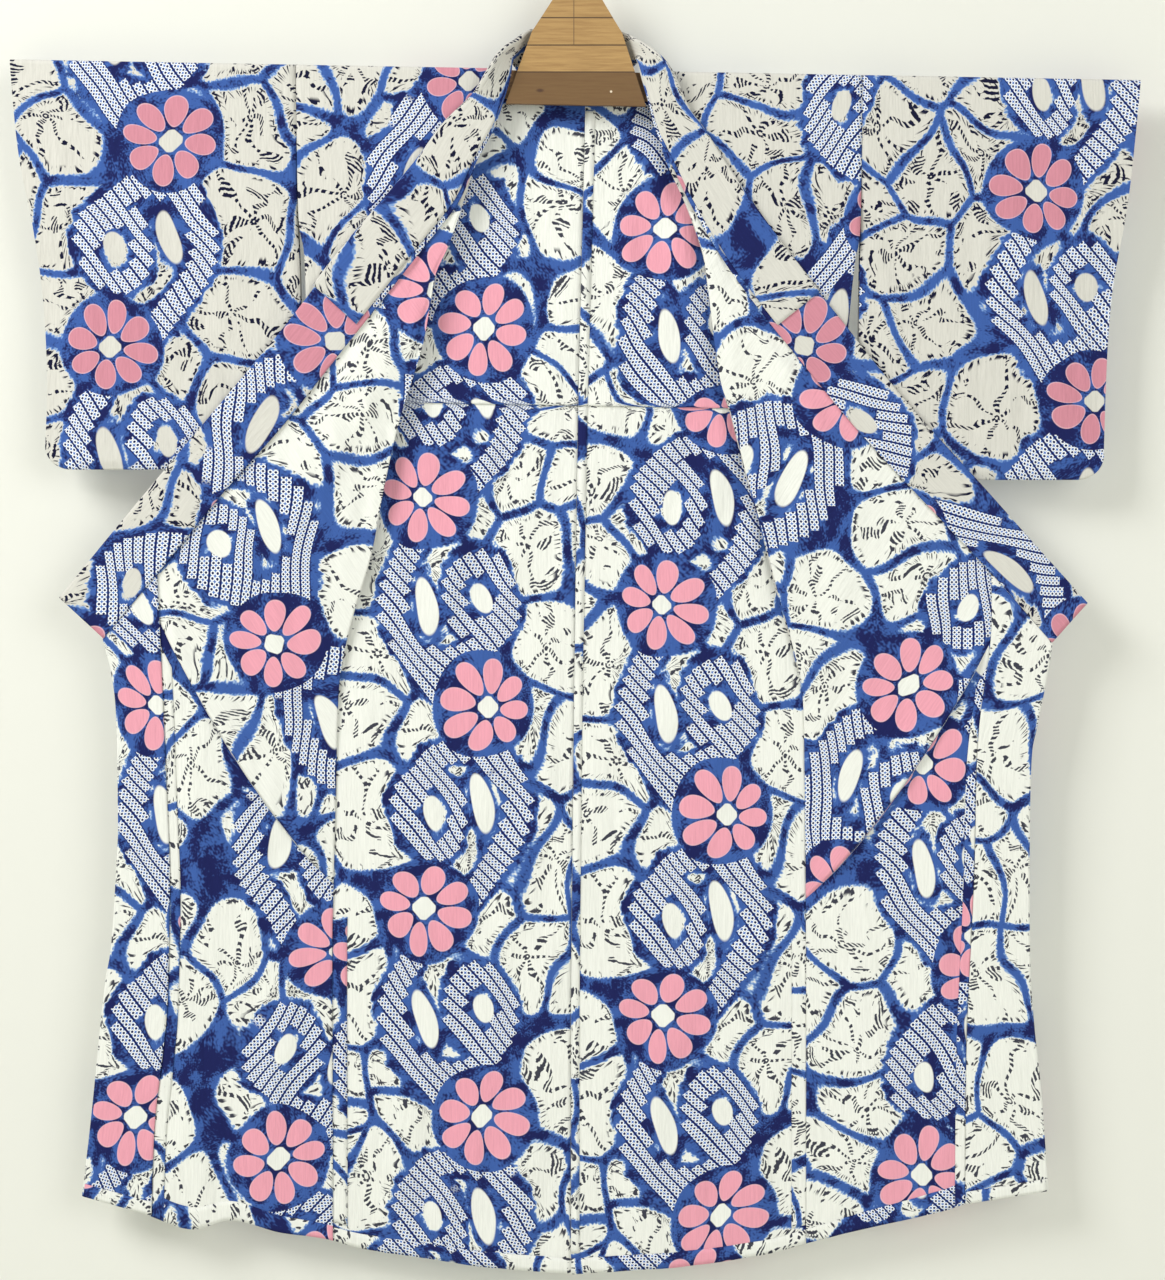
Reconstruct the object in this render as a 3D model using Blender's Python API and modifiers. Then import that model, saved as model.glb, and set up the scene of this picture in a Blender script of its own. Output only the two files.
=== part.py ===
"""Cotton yukata robe hung on a wooden kimono hanger, both fronts opened out flat.

Lengths in the tables are millimetres. X runs to the viewer's right, Y away from the
viewer and Z up, measured from the shoulder line at the hanger's middle; the finished
model has its origin at the inside top of the hook. Column "out" is the distance from
the middle towards the sleeve on that side, so left and right share every function.
Each cloth piece is one thin open sheet, worked out row by row, with Solidify.
"""

import math

import bpy
import numpy as np
from mathutils import Matrix

MM = 0.001
SHOULDER_DROP = 170.0

# Cloth, seams and turned edges
CLOTH = 1.5
COLLAR_THICK = 2.8
OVER_COLLAR_THICK = 1.2
SEAM_GAP = 0.3
LAP = 2.0
COLLAR_LIFT = 2.85
OVER_COLLAR_OFFSET = 3.1
OKUMI_FOLD_RADIUS = 1.9
OKUMI_TURNED = 75.0
OKUMI_COLLAR_GAP = 1.0
PAGE_TIP_Z = -165.0
FRONT_SHOULDER_END_Z = -690.0

# Wooden hanger
BAR_LENGTH = 1250.0
BAR_HEIGHT = 32.0
BAR_DEPTH = 16.0
BAR_TOP = -2.0
BAR_EDGE = 5.0
HANGER_TILT = math.radians(1.05)
BOARD_THICK = 6.0
BOARD_FRONT_GAP = 0.4
HOOK_WIRE = 4.0
HOOK_RADIUS = 16.0

# How the cloth passes over the bar
WRAP_HALF = BAR_DEPTH / 2 + 0.5 + CLOTH / 2
WRAP_RADIUS = 5.0
WRAP_TOP = BAR_TOP + 0.5 + CLOTH / 2
WRAP_CORNER = WRAP_HALF - WRAP_RADIUS + WRAP_RADIUS * math.pi / 2
WRAP_FALL = WRAP_CORNER - WRAP_RADIUS
BACK_Y = WRAP_HALF + 0.2

# Waist tuck taken across the back, seen from the inside
TUCK_Z = -388.0
TUCK_RISE = 2.4
TUCK_FADE = 18.0

# Board outline above and in front of the bar: height, half width
BOARD = [
    (-43.0, 81.0),
    (-5.0, 68.0),
    (41.0, 52.0),
    (60.0, 40.0),
    (81.0, 27.0),
    (104.0, 14.0),
    (112.0, 6.0),
]
BOARD_MIDDLE = 3.0

# Centre back seam: height, x
CENTRE_SEAM = [
    (10.0, 14.0),
    (-93.0, 12.0),
    (-383.0, 5.0),
    (-731.0, 0.0),
    (-1079.0, -3.5),
    (-1420.0, -3.5),
]

# Neckline of the back: where it starts and ends, its drop, and the length that takes it up
NECKLINE_FROM_OUT = 60.0
NECKLINE_TO_OUT = 93.0
NECKLINE_DROP = 9.0
NECKLINE_TAKEN_UP = 150.0

# The back settles against its own plane between these depths below the shoulder, and
# below the last height its rows even out to the hem
SETTLE_FROM = 30.0
SETTLE_TO = 120.0
HEM_ROWS_FROM_Z = -1100.0

# Collar from the left end round the nape to the right end. The first three columns
# are its sewn edge and the last three its free edge: x, z and y. A y of None follows
# the front that the collar is sewn to.
COLLAR = [
    (-544.0, -659.0, None, -595.0, -612.0, None),
    (-483.0, -586.0, None, -537.0, -541.0, None),
    (-403.0, -488.0, None, -456.0, -444.0, None),
    (-336.0, -413.0, None, -391.0, -367.0, None),
    (-275.0, -336.0, None, -328.0, -291.0, None),
    (-220.0, -267.0, None, -272.0, -217.0, None),
    (-172.0, -206.0, None, -222.0, -158.0, None),
    (-134.0, -157.0, None, -180.0, -108.0, None),
    (-113.0, -110.0, None, -151.0, -68.0, -14.6),
    (-92.0, -70.0, -14.0, -118.0, -36.0, -17.0),
    (-81.5, -40.0, -14.2, -107.0, -23.0, -26.0),
    (-73.5, -12.0, -14.2, -97.0, -7.0, -31.0),
    (-71.5, 8.0, -9.5, -84.0, 14.0, -29.0),
    (-72.0, 9.5, 1.0, -67.0, 30.0, -14.0),
    (-68.5, 5.0, 11.0, -55.0, 43.0, 2.0),
    (-57.0, -9.0, 15.6, -44.0, 49.0, 14.0),
    (-32.0, -18.0, 15.6, -25.0, 51.0, 16.6),
    (0.0, -22.0, 15.6, 0.0, 52.0, 17.0),
    (32.0, -18.0, 15.6, 25.0, 50.0, 16.6),
    (58.0, -10.0, 15.6, 46.0, 47.0, 14.0),
    (68.0, 4.0, 11.0, 59.0, 41.0, 2.0),
    (72.0, 8.0, 1.0, 75.0, 29.0, -13.0),
    (74.0, 6.5, -9.5, 92.0, 15.0, -27.0),
    (78.0, -12.0, -14.2, 106.0, 0.0, -28.0),
    (86.5, -42.0, -14.2, 117.0, -18.0, -24.0),
    (95.0, -74.0, -14.0, 130.0, -46.0, -17.0),
    (113.0, -112.0, None, 151.0, -76.0, -14.6),
    (136.0, -160.0, None, 180.0, -121.0, None),
    (173.0, -223.0, None, 222.0, -182.0, None),
    (213.0, -278.0, None, 264.0, -237.0, None),
    (254.0, -329.0, None, 306.0, -288.0, None),
    (332.0, -423.0, None, 383.0, -384.0, None),
    (432.0, -530.0, None, 478.0, -489.0, None),
    (484.0, -585.0, None, 528.0, -545.0, None),
    (553.0, -664.0, None, 594.0, -618.0, None),
]
OVER_COLLAR_FROM = 4.5
OVER_COLLAR_TO = 29.5
COLLAR_NAPE_ROW = 17

# Edges of each side's panels: height, out
SIDES = {
    "left": {
        "sign": -1.0,
        "crease": [
            (5.0, 91.0), (-18.0, 90.0), (-42.0, 89.0), (-63.0, 95.0), (-93.0, 107.0), (-151.0, 126.0),
            (-203.0, 144.0), (-239.0, 160.0), (-280.0, 167.0), (-329.0, 177.0), (-408.0, 202.0),
            (-486.0, 220.0), (-563.0, 235.0), (-629.0, 255.0), (-683.0, 268.0), (-734.0, 274.0),
            (-850.0, 277.0), (-963.0, 280.0), (-1046.0, 281.0), (-1420.0, 280.0),
        ],
        "body_edge": [
            (10.0, 321.7), (-170.0, 318.8), (-220.0, 312.0), (-300.0, 309.0), (-460.0, 302.0),
            (-600.0, 292.0), (-734.0, 283.0), (-963.0, 283.0), (-1046.0, 284.0), (-1420.0, 283.0),
        ],
        "okumi_seam": [
            (-585.0, 483.0), (-640.0, 481.0), (-847.0, 473.0), (-940.0, 470.0), (-1079.0, 473.0),
            (-1153.0, 480.0), (-1238.0, 489.0), (-1420.0, 494.0),
        ],
        "okumi_edge": [
            (-660.0, 545.0), (-731.0, 531.0), (-864.0, 528.0), (-905.0, 529.0), (-1012.0, 536.0),
            (-1056.0, 543.0), (-1118.0, 550.0), (-1216.0, 560.0), (-1310.0, 571.0),
        ],
        "hem": [
            (0.0, -1399.0), (108.0, -1390.0), (174.0, -1380.0), (246.0, -1369.0), (290.0, -1357.0),
            (343.0, -1349.0), (397.0, -1335.0), (445.0, -1345.0), (499.0, -1327.0), (570.0, -1304.0),
        ],
        "sleeve_inner": [(20.0, 322.0), (-170.0, 319.0), (-272.0, 316.0), (-480.0, 315.0)],
        "sleeve_outer": [
            (14.0, 653.0), (-96.0, 643.0), (-186.0, 626.0), (-274.0, 615.0), (-363.0, 611.0),
            (-438.0, 613.0), (-480.0, 613.0),
        ],
        "sleeve_bottom": -463.0,
        # Opened front, one row per pair: height on the crease, height on the outer edge
        "page_rows": [
            (-165.0, -168.0), (-212.0, -216.0), (-268.0, -272.0), (-329.0, -336.0), (-408.0, -413.0),
            (-486.0, -488.0), (-570.0, -585.0), (-629.0, -650.0), (-700.0, -715.0), (-780.0, -790.0),
            (-870.0, -870.0), (-965.0, -960.0), (-1062.0, -1055.0), (-1160.0, -1150.0),
            (-1260.0, -1240.0), (-1357.0, -1328.0),
        ],
        "okumi_rows": [
            (-586.0, -660.0), (-640.0, -688.0), (-715.0, -735.0), (-790.0, -800.0), (-870.0, -870.0),
            (-960.0, -955.0), (-1055.0, -1045.0), (-1150.0, -1135.0), (-1240.0, -1222.0),
            (-1328.0, -1306.0),
        ],
        # Folds of the opened front: out and height of start, middle and end, rise,
        # reach on the side towards the middle, reach on the other side
        "page_folds": [
            (455.0, -690.0, 346.0, -868.0, 290.0, -965.0, 7.0, 34.0, 70.0),
            (190.0, -290.0, 248.0, -400.0, 330.0, -540.0, 5.0, 26.0, 60.0),
            (420.0, -760.0, 440.0, -900.0, 430.0, -1010.0, 3.5, 34.0, 34.0),
            (330.0, -1080.0, 350.0, -1200.0, 345.0, -1330.0, 4.0, 38.0, 38.0),
            (440.0, -1150.0, 446.0, -1240.0, 443.0, -1330.0, 5.0, 32.0, 32.0),
        ],
        "back_folds": [
            (252.0, -960.0, 225.0, -972.0, 160.0, -985.0, 3.5, 30.0, 40.0),
            (190.0, -1150.0, 205.0, -1250.0, 200.0, -1375.0, 4.0, 42.0, 42.0),
            (60.0, -1180.0, 66.0, -1290.0, 64.0, -1385.0, 3.5, 40.0, 40.0),
            (120.0, -420.0, 140.0, -560.0, 200.0, -720.0, 3.0, 36.0, 50.0),
        ],
    },
    "right": {
        "sign": 1.0,
        "crease": [
            (5.0, 92.0), (-18.0, 91.0), (-42.0, 90.0), (-63.0, 95.0), (-104.0, 106.0), (-155.0, 129.0),
            (-209.0, 148.0), (-245.0, 154.0), (-278.0, 158.0), (-358.0, 169.0), (-396.0, 181.0),
            (-463.0, 198.0), (-522.0, 215.0), (-600.0, 235.0), (-660.0, 252.0), (-719.0, 265.0),
            (-797.0, 268.0), (-1025.0, 270.0), (-1420.0, 270.0),
        ],
        "body_edge": [
            (10.0, 333.5), (-170.0, 331.6), (-220.0, 325.0), (-300.0, 317.0), (-460.0, 305.0),
            (-600.0, 290.0), (-719.0, 275.0), (-797.0, 272.0), (-1025.0, 273.0), (-1420.0, 273.0),
        ],
        "okumi_seam": [
            (-584.0, 484.0), (-661.0, 484.0), (-777.0, 470.0), (-931.0, 466.0), (-1083.0, 459.0),
            (-1155.0, 457.0), (-1305.0, 456.0), (-1420.0, 456.0),
        ],
        "okumi_edge": [
            (-665.0, 554.0), (-708.0, 547.0), (-763.0, 536.0), (-800.0, 530.0), (-905.0, 528.0),
            (-1038.0, 529.0), (-1110.0, 534.0), (-1155.0, 539.0), (-1209.0, 544.0), (-1310.0, 551.0),
        ],
        "hem": [
            (0.0, -1399.0), (74.0, -1394.0), (137.0, -1389.0), (226.0, -1375.0), (276.0, -1361.0),
            (334.0, -1346.0), (428.0, -1324.0), (491.0, -1303.0), (551.0, -1299.0), (570.0, -1299.0),
        ],
        "sleeve_inner": [(20.0, 334.0), (-170.0, 332.0), (-272.0, 330.0), (-490.0, 328.0)],
        "sleeve_outer": [
            (0.0, 657.0), (-143.0, 643.0), (-254.0, 625.0), (-343.0, 618.0), (-465.0, 614.0),
            (-490.0, 613.0),
        ],
        "sleeve_bottom": -475.0,
        "page_rows": [
            (-165.0, -170.0), (-214.0, -222.0), (-268.0, -276.0), (-329.0, -338.0), (-400.0, -410.0),
            (-478.0, -492.0), (-560.0, -584.0), (-629.0, -650.0), (-700.0, -715.0), (-780.0, -790.0),
            (-870.0, -870.0), (-965.0, -960.0), (-1062.0, -1055.0), (-1160.0, -1150.0),
            (-1262.0, -1235.0), (-1361.0, -1315.0),
        ],
        "okumi_rows": [
            (-585.0, -665.0), (-640.0, -690.0), (-715.0, -738.0), (-790.0, -800.0), (-870.0, -870.0),
            (-960.0, -955.0), (-1055.0, -1045.0), (-1150.0, -1135.0), (-1235.0, -1218.0),
            (-1315.0, -1300.0),
        ],
        "page_folds": [
            (455.0, -775.0, 393.0, -836.0, 290.0, -950.0, 7.0, 34.0, 70.0),
            (200.0, -262.0, 262.0, -390.0, 350.0, -560.0, 4.5, 30.0, 55.0),
            (430.0, -900.0, 436.0, -1000.0, 428.0, -1120.0, 3.5, 34.0, 34.0),
            (330.0, -1080.0, 345.0, -1200.0, 350.0, -1320.0, 4.0, 38.0, 38.0),
        ],
        "back_folds": [
            (245.0, -990.0, 205.0, -1020.0, 150.0, -1057.0, 4.5, 30.0, 44.0),
            (190.0, -1150.0, 205.0, -1250.0, 205.0, -1370.0, 4.0, 42.0, 42.0),
            (90.0, -1180.0, 96.0, -1290.0, 94.0, -1385.0, 3.5, 40.0, 40.0),
            (110.0, -150.0, 122.0, -240.0, 130.0, -340.0, 3.0, 34.0, 34.0),
        ],
    },
}

# Depth of the layers: height, front shoulder at its inner edge, opened front at the
# crease, opened front at its outer edge
DEPTHS = [
    (10.0, -9.25, -11.3, -11.3),
    (-200.0, -9.25, -11.3, -11.3),
    (-300.0, -8.2, -10.3, -11.1),
    (-460.0, -4.0, -6.1, -8.6),
    (-585.0, 1.0, -1.1, -7.6),
    (-690.0, 6.4, 4.3, -6.2),
    (-760.0, 9.0, 7.3, -5.2),
    (-950.0, 9.0, 7.4, -2.6),
    (-1200.0, 9.0, 7.4, 0.4),
    (-1420.0, 9.0, 7.4, 2.0),
]

# Front shoulder at its outer edge, which meets the back below the side opening:
# height, depth
SHOULDER_EDGE_DEPTH = [
    (10.0, -9.25),
    (-250.0, -9.25),
    (-330.0, -5.0),
    (-420.0, 5.0),
    (-480.0, 7.4),
    (-700.0, 7.4),
]
SHOULDER_ON_BAR = 42.0

# Half the depth of a sleeve: height, at the body, at the sewn part of the cuff
SLEEVE_DEPTH = [
    (20.0, 9.25, 9.25),
    (-40.0, 9.25, 9.25),
    (-120.0, 7.6, 7.0),
    (-200.0, 6.8, 5.0),
    (-245.0, 6.4, 1.0),
    (-400.0, 5.2, 0.97),
    (-500.0, 4.4, 0.97),
]
CUFF_CLOSING_WIDTH = 60.0
SLEEVE_CORNER = 34.0
SLEEVE_CORNER_RISE = 0.8
SLEEVE_FOLD_RADIUS = 2.4
SLEEVE_FOLD_TURNS = (0.0, 35.0, 65.0)
SLEEVE_TOP_LENGTHS = (3.5, 6.5, 9.5, 12.5)
SLEEVE_SIDE_FROM = 22.0
SLEEVE_SIDE_ABOVE_FOLD = 6.0

# Bends of the okumi's turned edge and the over-collar's, and how the okumi's first rows
# step aside and down from the collar
OKUMI_BENDS = (-45.0, 0.0, 45.0)
OVER_COLLAR_BENDS = (42.0, -42.0)
OKUMI_TOP_ROWS = 6.0
OKUMI_TOP_ASIDE = 0.4
OKUMI_TOP_DOWN = 1.3
COLLAR_FREE_EDGE_RISE = 0.4

# Folds fade out towards a sheet's seams, between these shares of its width
PAGE_FOLD_FADE = (0.05, 0.3)
BACK_FOLD_FADE = (0.0, 0.25)
TUCK_SEAM_FADE = (0.0, 0.2)

# Wire hook: heights of its stem above the board, and the turn of its round part
STEM_RISE = (8.0, 16.0)
STEM_INSET = (0.8, 0.4)
HOOK_FROM = -25.0
HOOK_TO = 205.0

# Rows and columns of the sheets
PAGE_GRID = (31, 10)
OKUMI_GRID = (19, 3)
BACK_TOP_LENGTHS = (0.0, 4.0, 7.0, 10.0, 13.5, 22.0, 50.0, 100.0, 160.0, 220.0, 280.0, 330.0, 370.0)
TUCK_ROWS = (-2.0, 2.0, 9.0)
BACK_ROWS_BELOW_TUCK = 12
BACK_LENGTH = 1400.0
SHOULDER_TOP_LENGTHS = (0.0, 4.0, 7.0, 10.0, 13.5, 24.0, 42.0, 70.0)
SHOULDER_ROWS_BELOW = 13
BACK_COLUMNS_OUT = (0.0, 32.0, 58.0, 65.0, 71.0, 77.0, 83.0, 89.0, 96.0, 150.0, 205.0, 262.0, 320.0)
SHOULDER_COLUMNS = 6
SLEEVE_COLUMNS = 9
SLEEVE_ROWS = 8
COLLAR_ROWS = (0.0, 9.0, 15.0, 19.0, 25.0, 34.0)
COLLAR_STEPS = (0.5, 0.25, 0.5, 0.25, 0.5)
COLLAR_SHARES = (0.08, 0.39, 0.7, 1.0)

COLOURS = {
    "cloth": ((0.86, 0.87, 0.88), 0.85),
    "okumi": ((0.66, 0.73, 0.84), 0.85),
    "collar": ((0.20, 0.34, 0.66), 0.85),
    "sleeve": ((0.80, 0.80, 0.84), 0.85),
    "wood": ((0.45, 0.30, 0.16), 0.55),
    "steel": ((0.62, 0.62, 0.60), 0.35),
}


def catmull(points, at):
    """Points on a Catmull-Rom curve through the rows, at row numbers with fractions."""
    rows = np.asarray(points, dtype=float)
    first = np.clip(np.floor(at).astype(int), 0, len(rows) - 2)
    f = (at - first)[:, None]
    before = rows[np.maximum(first - 1, 0)]
    start = rows[first]
    end = rows[first + 1]
    after = rows[np.minimum(first + 2, len(rows) - 1)]
    slope_in = (end - before) / 2
    slope_out = (after - start) / 2
    return (
        start * (1 - 3 * f**2 + 2 * f**3)
        + slope_in * (f - 2 * f**2 + f**3)
        + end * (3 * f**2 - 2 * f**3)
        + slope_out * (f**3 - f**2)
    )


def look_up(table, key, column=1):
    """Smooth value of a table's column at a key, whichever way its first column runs."""
    dense = catmull(table, np.linspace(0, len(table) - 1, 40 * len(table)))
    order = np.argsort(dense[:, 0])
    return np.interp(key, dense[order, 0], dense[order, column])


def plain(table, key, column=1):
    """Straight-line value of a table's column at a key."""
    rows = np.asarray(table, dtype=float)
    order = np.argsort(rows[:, 0])
    return np.interp(key, rows[order, 0], rows[order, column])


def ease(value, low, high):
    """Smooth step from 0 at low to 1 at high."""
    f = np.clip((value - low) / (high - low), 0.0, 1.0)
    return f * f * (3 - 2 * f)


def shoulder_top(x):
    """Height of the cloth's middle where it crosses the tilted bar."""
    return WRAP_TOP - math.tan(HANGER_TILT) * x


def over_bar(length):
    """Depth and fall of cloth a given length down from the fold on the bar."""
    turn = np.clip((length - (WRAP_HALF - WRAP_RADIUS)) / WRAP_RADIUS, 0.0, math.pi / 2)
    flat = np.minimum(length, WRAP_HALF - WRAP_RADIUS)
    depth = flat + WRAP_RADIUS * np.sin(turn)
    fall = WRAP_RADIUS * (1 - np.cos(turn)) + np.maximum(length - WRAP_CORNER, 0.0)
    return depth, fall


def through(start, middle, end, f):
    """Parabola through three values, reached at f of 0, 0.5 and 1."""
    return start * (1 - f) * (1 - 2 * f) + 4 * middle * f * (1 - f) + end * f * (2 * f - 1)


def fold_rise(folds, out, z):
    """How far the folds lift the cloth towards the viewer at each point.

    Each fold is a ridge along a curve of three points: a bell across it with its own
    reach on each side, fading out at both ends.
    """
    rise = np.zeros_like(out)
    steps = np.linspace(0.0, 1.0, 15)
    for x0, z0, x1, z1, x2, z2, height, inner, outer in folds:
        line_x = through(x0, x1, x2, steps)
        line_z = through(z0, z1, z2, steps)
        away_x = out[..., None] - line_x
        away_z = z[..., None] - line_z
        distance = np.hypot(away_x, away_z)
        nearest = distance.argmin(axis=-1)
        gap = distance.min(axis=-1)
        inside = np.take_along_axis(away_x, nearest[..., None], axis=-1)[..., 0] < 0
        reach = np.where(inside, inner, outer)
        along = np.sin(math.pi * (0.08 + 0.84 * steps[nearest]))
        rise += height * np.exp(-((gap / reach) ** 2)) * along
    return rise


def depth_at(z, column):
    """Depth of one of the layers in DEPTHS at a height."""
    return look_up(DEPTHS, z, column)


def collar_rows():
    """The collar table with each None replaced by the depth of the front it lies on."""
    rows = []
    for seam_x, seam_z, seam_y, free_x, free_z, free_y in COLLAR:
        front = float(depth_at(seam_z, 3)) - COLLAR_LIFT
        rows.append((
            seam_x,
            front if seam_y is None else seam_y,
            seam_z,
            free_x,
            front - COLLAR_FREE_EDGE_RISE if free_y is None else free_y,
            free_z,
        ))
    return np.array(rows)


def collar_at(at):
    """Sewn edge and free edge of the collar at row numbers with fractions."""
    rows = catmull(collar_rows(), at)
    return rows[:, :3], rows[:, 3:]


def outer_edge(side, z):
    """Outer edge of the opened front: along the collar, then down the okumi seam."""
    end = 0 if side["sign"] < 0 else len(COLLAR) - 1
    seam = catmull(collar_rows(), np.linspace(end, COLLAR_NAPE_ROW, 400))[:, :3]
    seam = seam[seam[:, 2] < PAGE_TIP_Z + 20]
    order = np.argsort(seam[:, 2])
    along_collar = np.interp(z, seam[order, 2], np.abs(seam[order, 0]))
    return np.where(z > side["okumi_seam"][0][0], along_collar, look_up(side["okumi_seam"], z))


def add_material(name):
    """Principled material with the colour and roughness of one finish."""
    colour, roughness = COLOURS[name]
    material = bpy.data.materials.new(name)
    material.use_nodes = True
    shader = material.node_tree.nodes["Principled BSDF"]
    shader.inputs["Base Color"].default_value = (*colour, 1.0)
    shader.inputs["Roughness"].default_value = roughness
    shader.inputs["Metallic"].default_value = 1.0 if name == "steel" else 0.0
    material.diffuse_color = (*colour, 1.0)
    return material


def finish(obj, colour, collection):
    """Link an object to the robe's collection only, with its own material."""
    for other in list(obj.users_collection):
        other.objects.unlink(obj)
    collection.objects.link(obj)
    obj.data.materials.clear()
    obj.data.materials.append(add_material(colour))
    return obj


def add_sheet(name, grid, thickness, colour, collection, tube=False):
    """Cloth piece from a grid of points in millimetres, thickened about its middle.

    A tube joins the last column to the first.
    """
    rows, columns = grid.shape[:2]
    points = grid.reshape(-1, 3) * MM
    points[:, 2] -= SHOULDER_DROP * MM
    number = np.arange(rows * columns).reshape(rows, columns)
    if tube:
        number = np.hstack([number, number[:, :1]])
    quads = np.stack([number[:-1, :-1], number[1:, :-1], number[1:, 1:], number[:-1, 1:]], axis=-1)
    mesh = bpy.data.meshes.new(name)
    mesh.from_pydata(points.tolist(), [], quads.reshape(-1, 4).tolist())
    mesh.shade_smooth()
    obj = bpy.data.objects.new(name, mesh)
    wall = obj.modifiers.new("cloth", "SOLIDIFY")
    wall.thickness = thickness * MM
    wall.offset = 0.0
    wall.use_even_offset = True
    return finish(obj, colour, collection)


def back_panel(name, side, collection):
    """Half the back, from the fold over the bar and the neckline down to the hem.

    Rows follow the length of cloth from the fold; the neckline starts lower. The waist
    tuck lifts the cloth just above it, and the hem follows its own table.
    """
    to_tuck = WRAP_FALL + WRAP_TOP - TUCK_Z
    lengths = np.concatenate([
        BACK_TOP_LENGTHS,
        to_tuck + np.array(TUCK_ROWS),
        np.linspace(to_tuck, BACK_LENGTH, BACK_ROWS_BELOW_TUCK + 1)[1:],
    ])
    across = np.array(BACK_COLUMNS_OUT) / BACK_COLUMNS_OUT[-1]
    length, share = np.meshgrid(lengths, across, indexing="ij")
    sign = side["sign"]
    rough_z = WRAP_TOP - np.maximum(length - WRAP_FALL, 0.0)
    seam_x = plain(CENTRE_SEAM, rough_z) * sign + SEAM_GAP / 2
    edge = look_up(side["body_edge"], rough_z)
    out = seam_x + (edge - seam_x) * share
    start = (1 - ease(out, NECKLINE_FROM_OUT, NECKLINE_TO_OUT)) * (WRAP_CORNER + NECKLINE_DROP)
    length = length + start * np.clip(1 - length / NECKLINE_TAKEN_UP, 0.0, 1.0)
    depth, fall = over_bar(length + SEAM_GAP / 2)
    z = shoulder_top(out * sign) - fall
    hem = look_up(side["hem"], np.maximum(out, 0.0))
    stretch = (hem - HEM_ROWS_FROM_Z) / (z[-1] - HEM_ROWS_FROM_Z)
    z = np.where(z < HEM_ROWS_FROM_Z, HEM_ROWS_FROM_Z + (z - HEM_ROWS_FROM_Z) * stretch, z)
    tuck = np.where(z > TUCK_Z, TUCK_RISE * np.exp(-(z - TUCK_Z) / TUCK_FADE), 0.0)
    tuck = tuck * ease(1 - share, *TUCK_SEAM_FADE)
    folds = fold_rise(side["back_folds"], out, z)
    folds = folds * ease(share, *BACK_FOLD_FADE) * ease(1 - share, *BACK_FOLD_FADE)
    settle = ease(-z, SETTLE_FROM, SETTLE_TO) * (BACK_Y - WRAP_HALF)
    y = depth + settle - tuck - folds
    return add_sheet(name, np.stack([out * sign, y, z], axis=-1), CLOTH, "cloth", collection)


def front_shoulder(name, side, collection):
    """Stretch of the front that keeps its right side out: sleeve seam to crease."""
    lengths = np.concatenate([
        SHOULDER_TOP_LENGTHS,
        np.linspace(SHOULDER_TOP_LENGTHS[-1], WRAP_FALL - FRONT_SHOULDER_END_Z, SHOULDER_ROWS_BELOW + 1)[1:],
    ])
    across = np.linspace(0.0, 1.0, SHOULDER_COLUMNS)
    length, share = np.meshgrid(lengths, across, indexing="ij")
    sign = side["sign"]
    depth, fall = over_bar(length + SEAM_GAP / 2)
    rough_z = WRAP_TOP - fall
    edge = look_up(side["body_edge"], rough_z)
    crease = look_up(side["crease"], rough_z)
    out = edge + (crease - edge) * share
    z = shoulder_top(out * sign) - fall
    level = look_up(SHOULDER_EDGE_DEPTH, z) * (1 - share) + depth_at(z, 1) * share
    y = np.where(length < SHOULDER_ON_BAR, -depth, level)
    return add_sheet(name, np.stack([out * sign, y, z], axis=-1), CLOTH, "cloth", collection)


def opened_front(name, side, collection):
    """Opened front, inside out: from the crease and side seam to the collar and okumi.

    Rows run between paired heights on the two edges; the lowest follow the hem.
    """
    rows, columns = PAGE_GRID
    pairs = catmull(side["page_rows"], np.linspace(0, len(side["page_rows"]) - 1, rows))
    share = np.linspace(0.0, 1.0, columns)[None, :]
    inner_z = pairs[:, :1]
    outer_z = pairs[:, 1:]
    inner = look_up(side["crease"], inner_z)
    outer = outer_edge(side, outer_z) + LAP
    out = inner + (outer - inner) * share
    z = inner_z + (outer_z - inner_z) * share
    near_hem = ease(np.linspace(0.0, 1.0, rows), 0.8, 1.0)[:, None]
    z = z + (look_up(side["hem"], out) - z[-1:]) * near_hem
    y = depth_at(z, 2) * (1 - share) + depth_at(z, 3) * share
    window = ease(share, *PAGE_FOLD_FADE) * ease(1 - share, *PAGE_FOLD_FADE)
    y = y - fold_rise(side["page_folds"], out, z) * window
    return add_sheet(name, np.stack([out * side["sign"], y, z], axis=-1), CLOTH, "cloth", collection)


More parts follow.
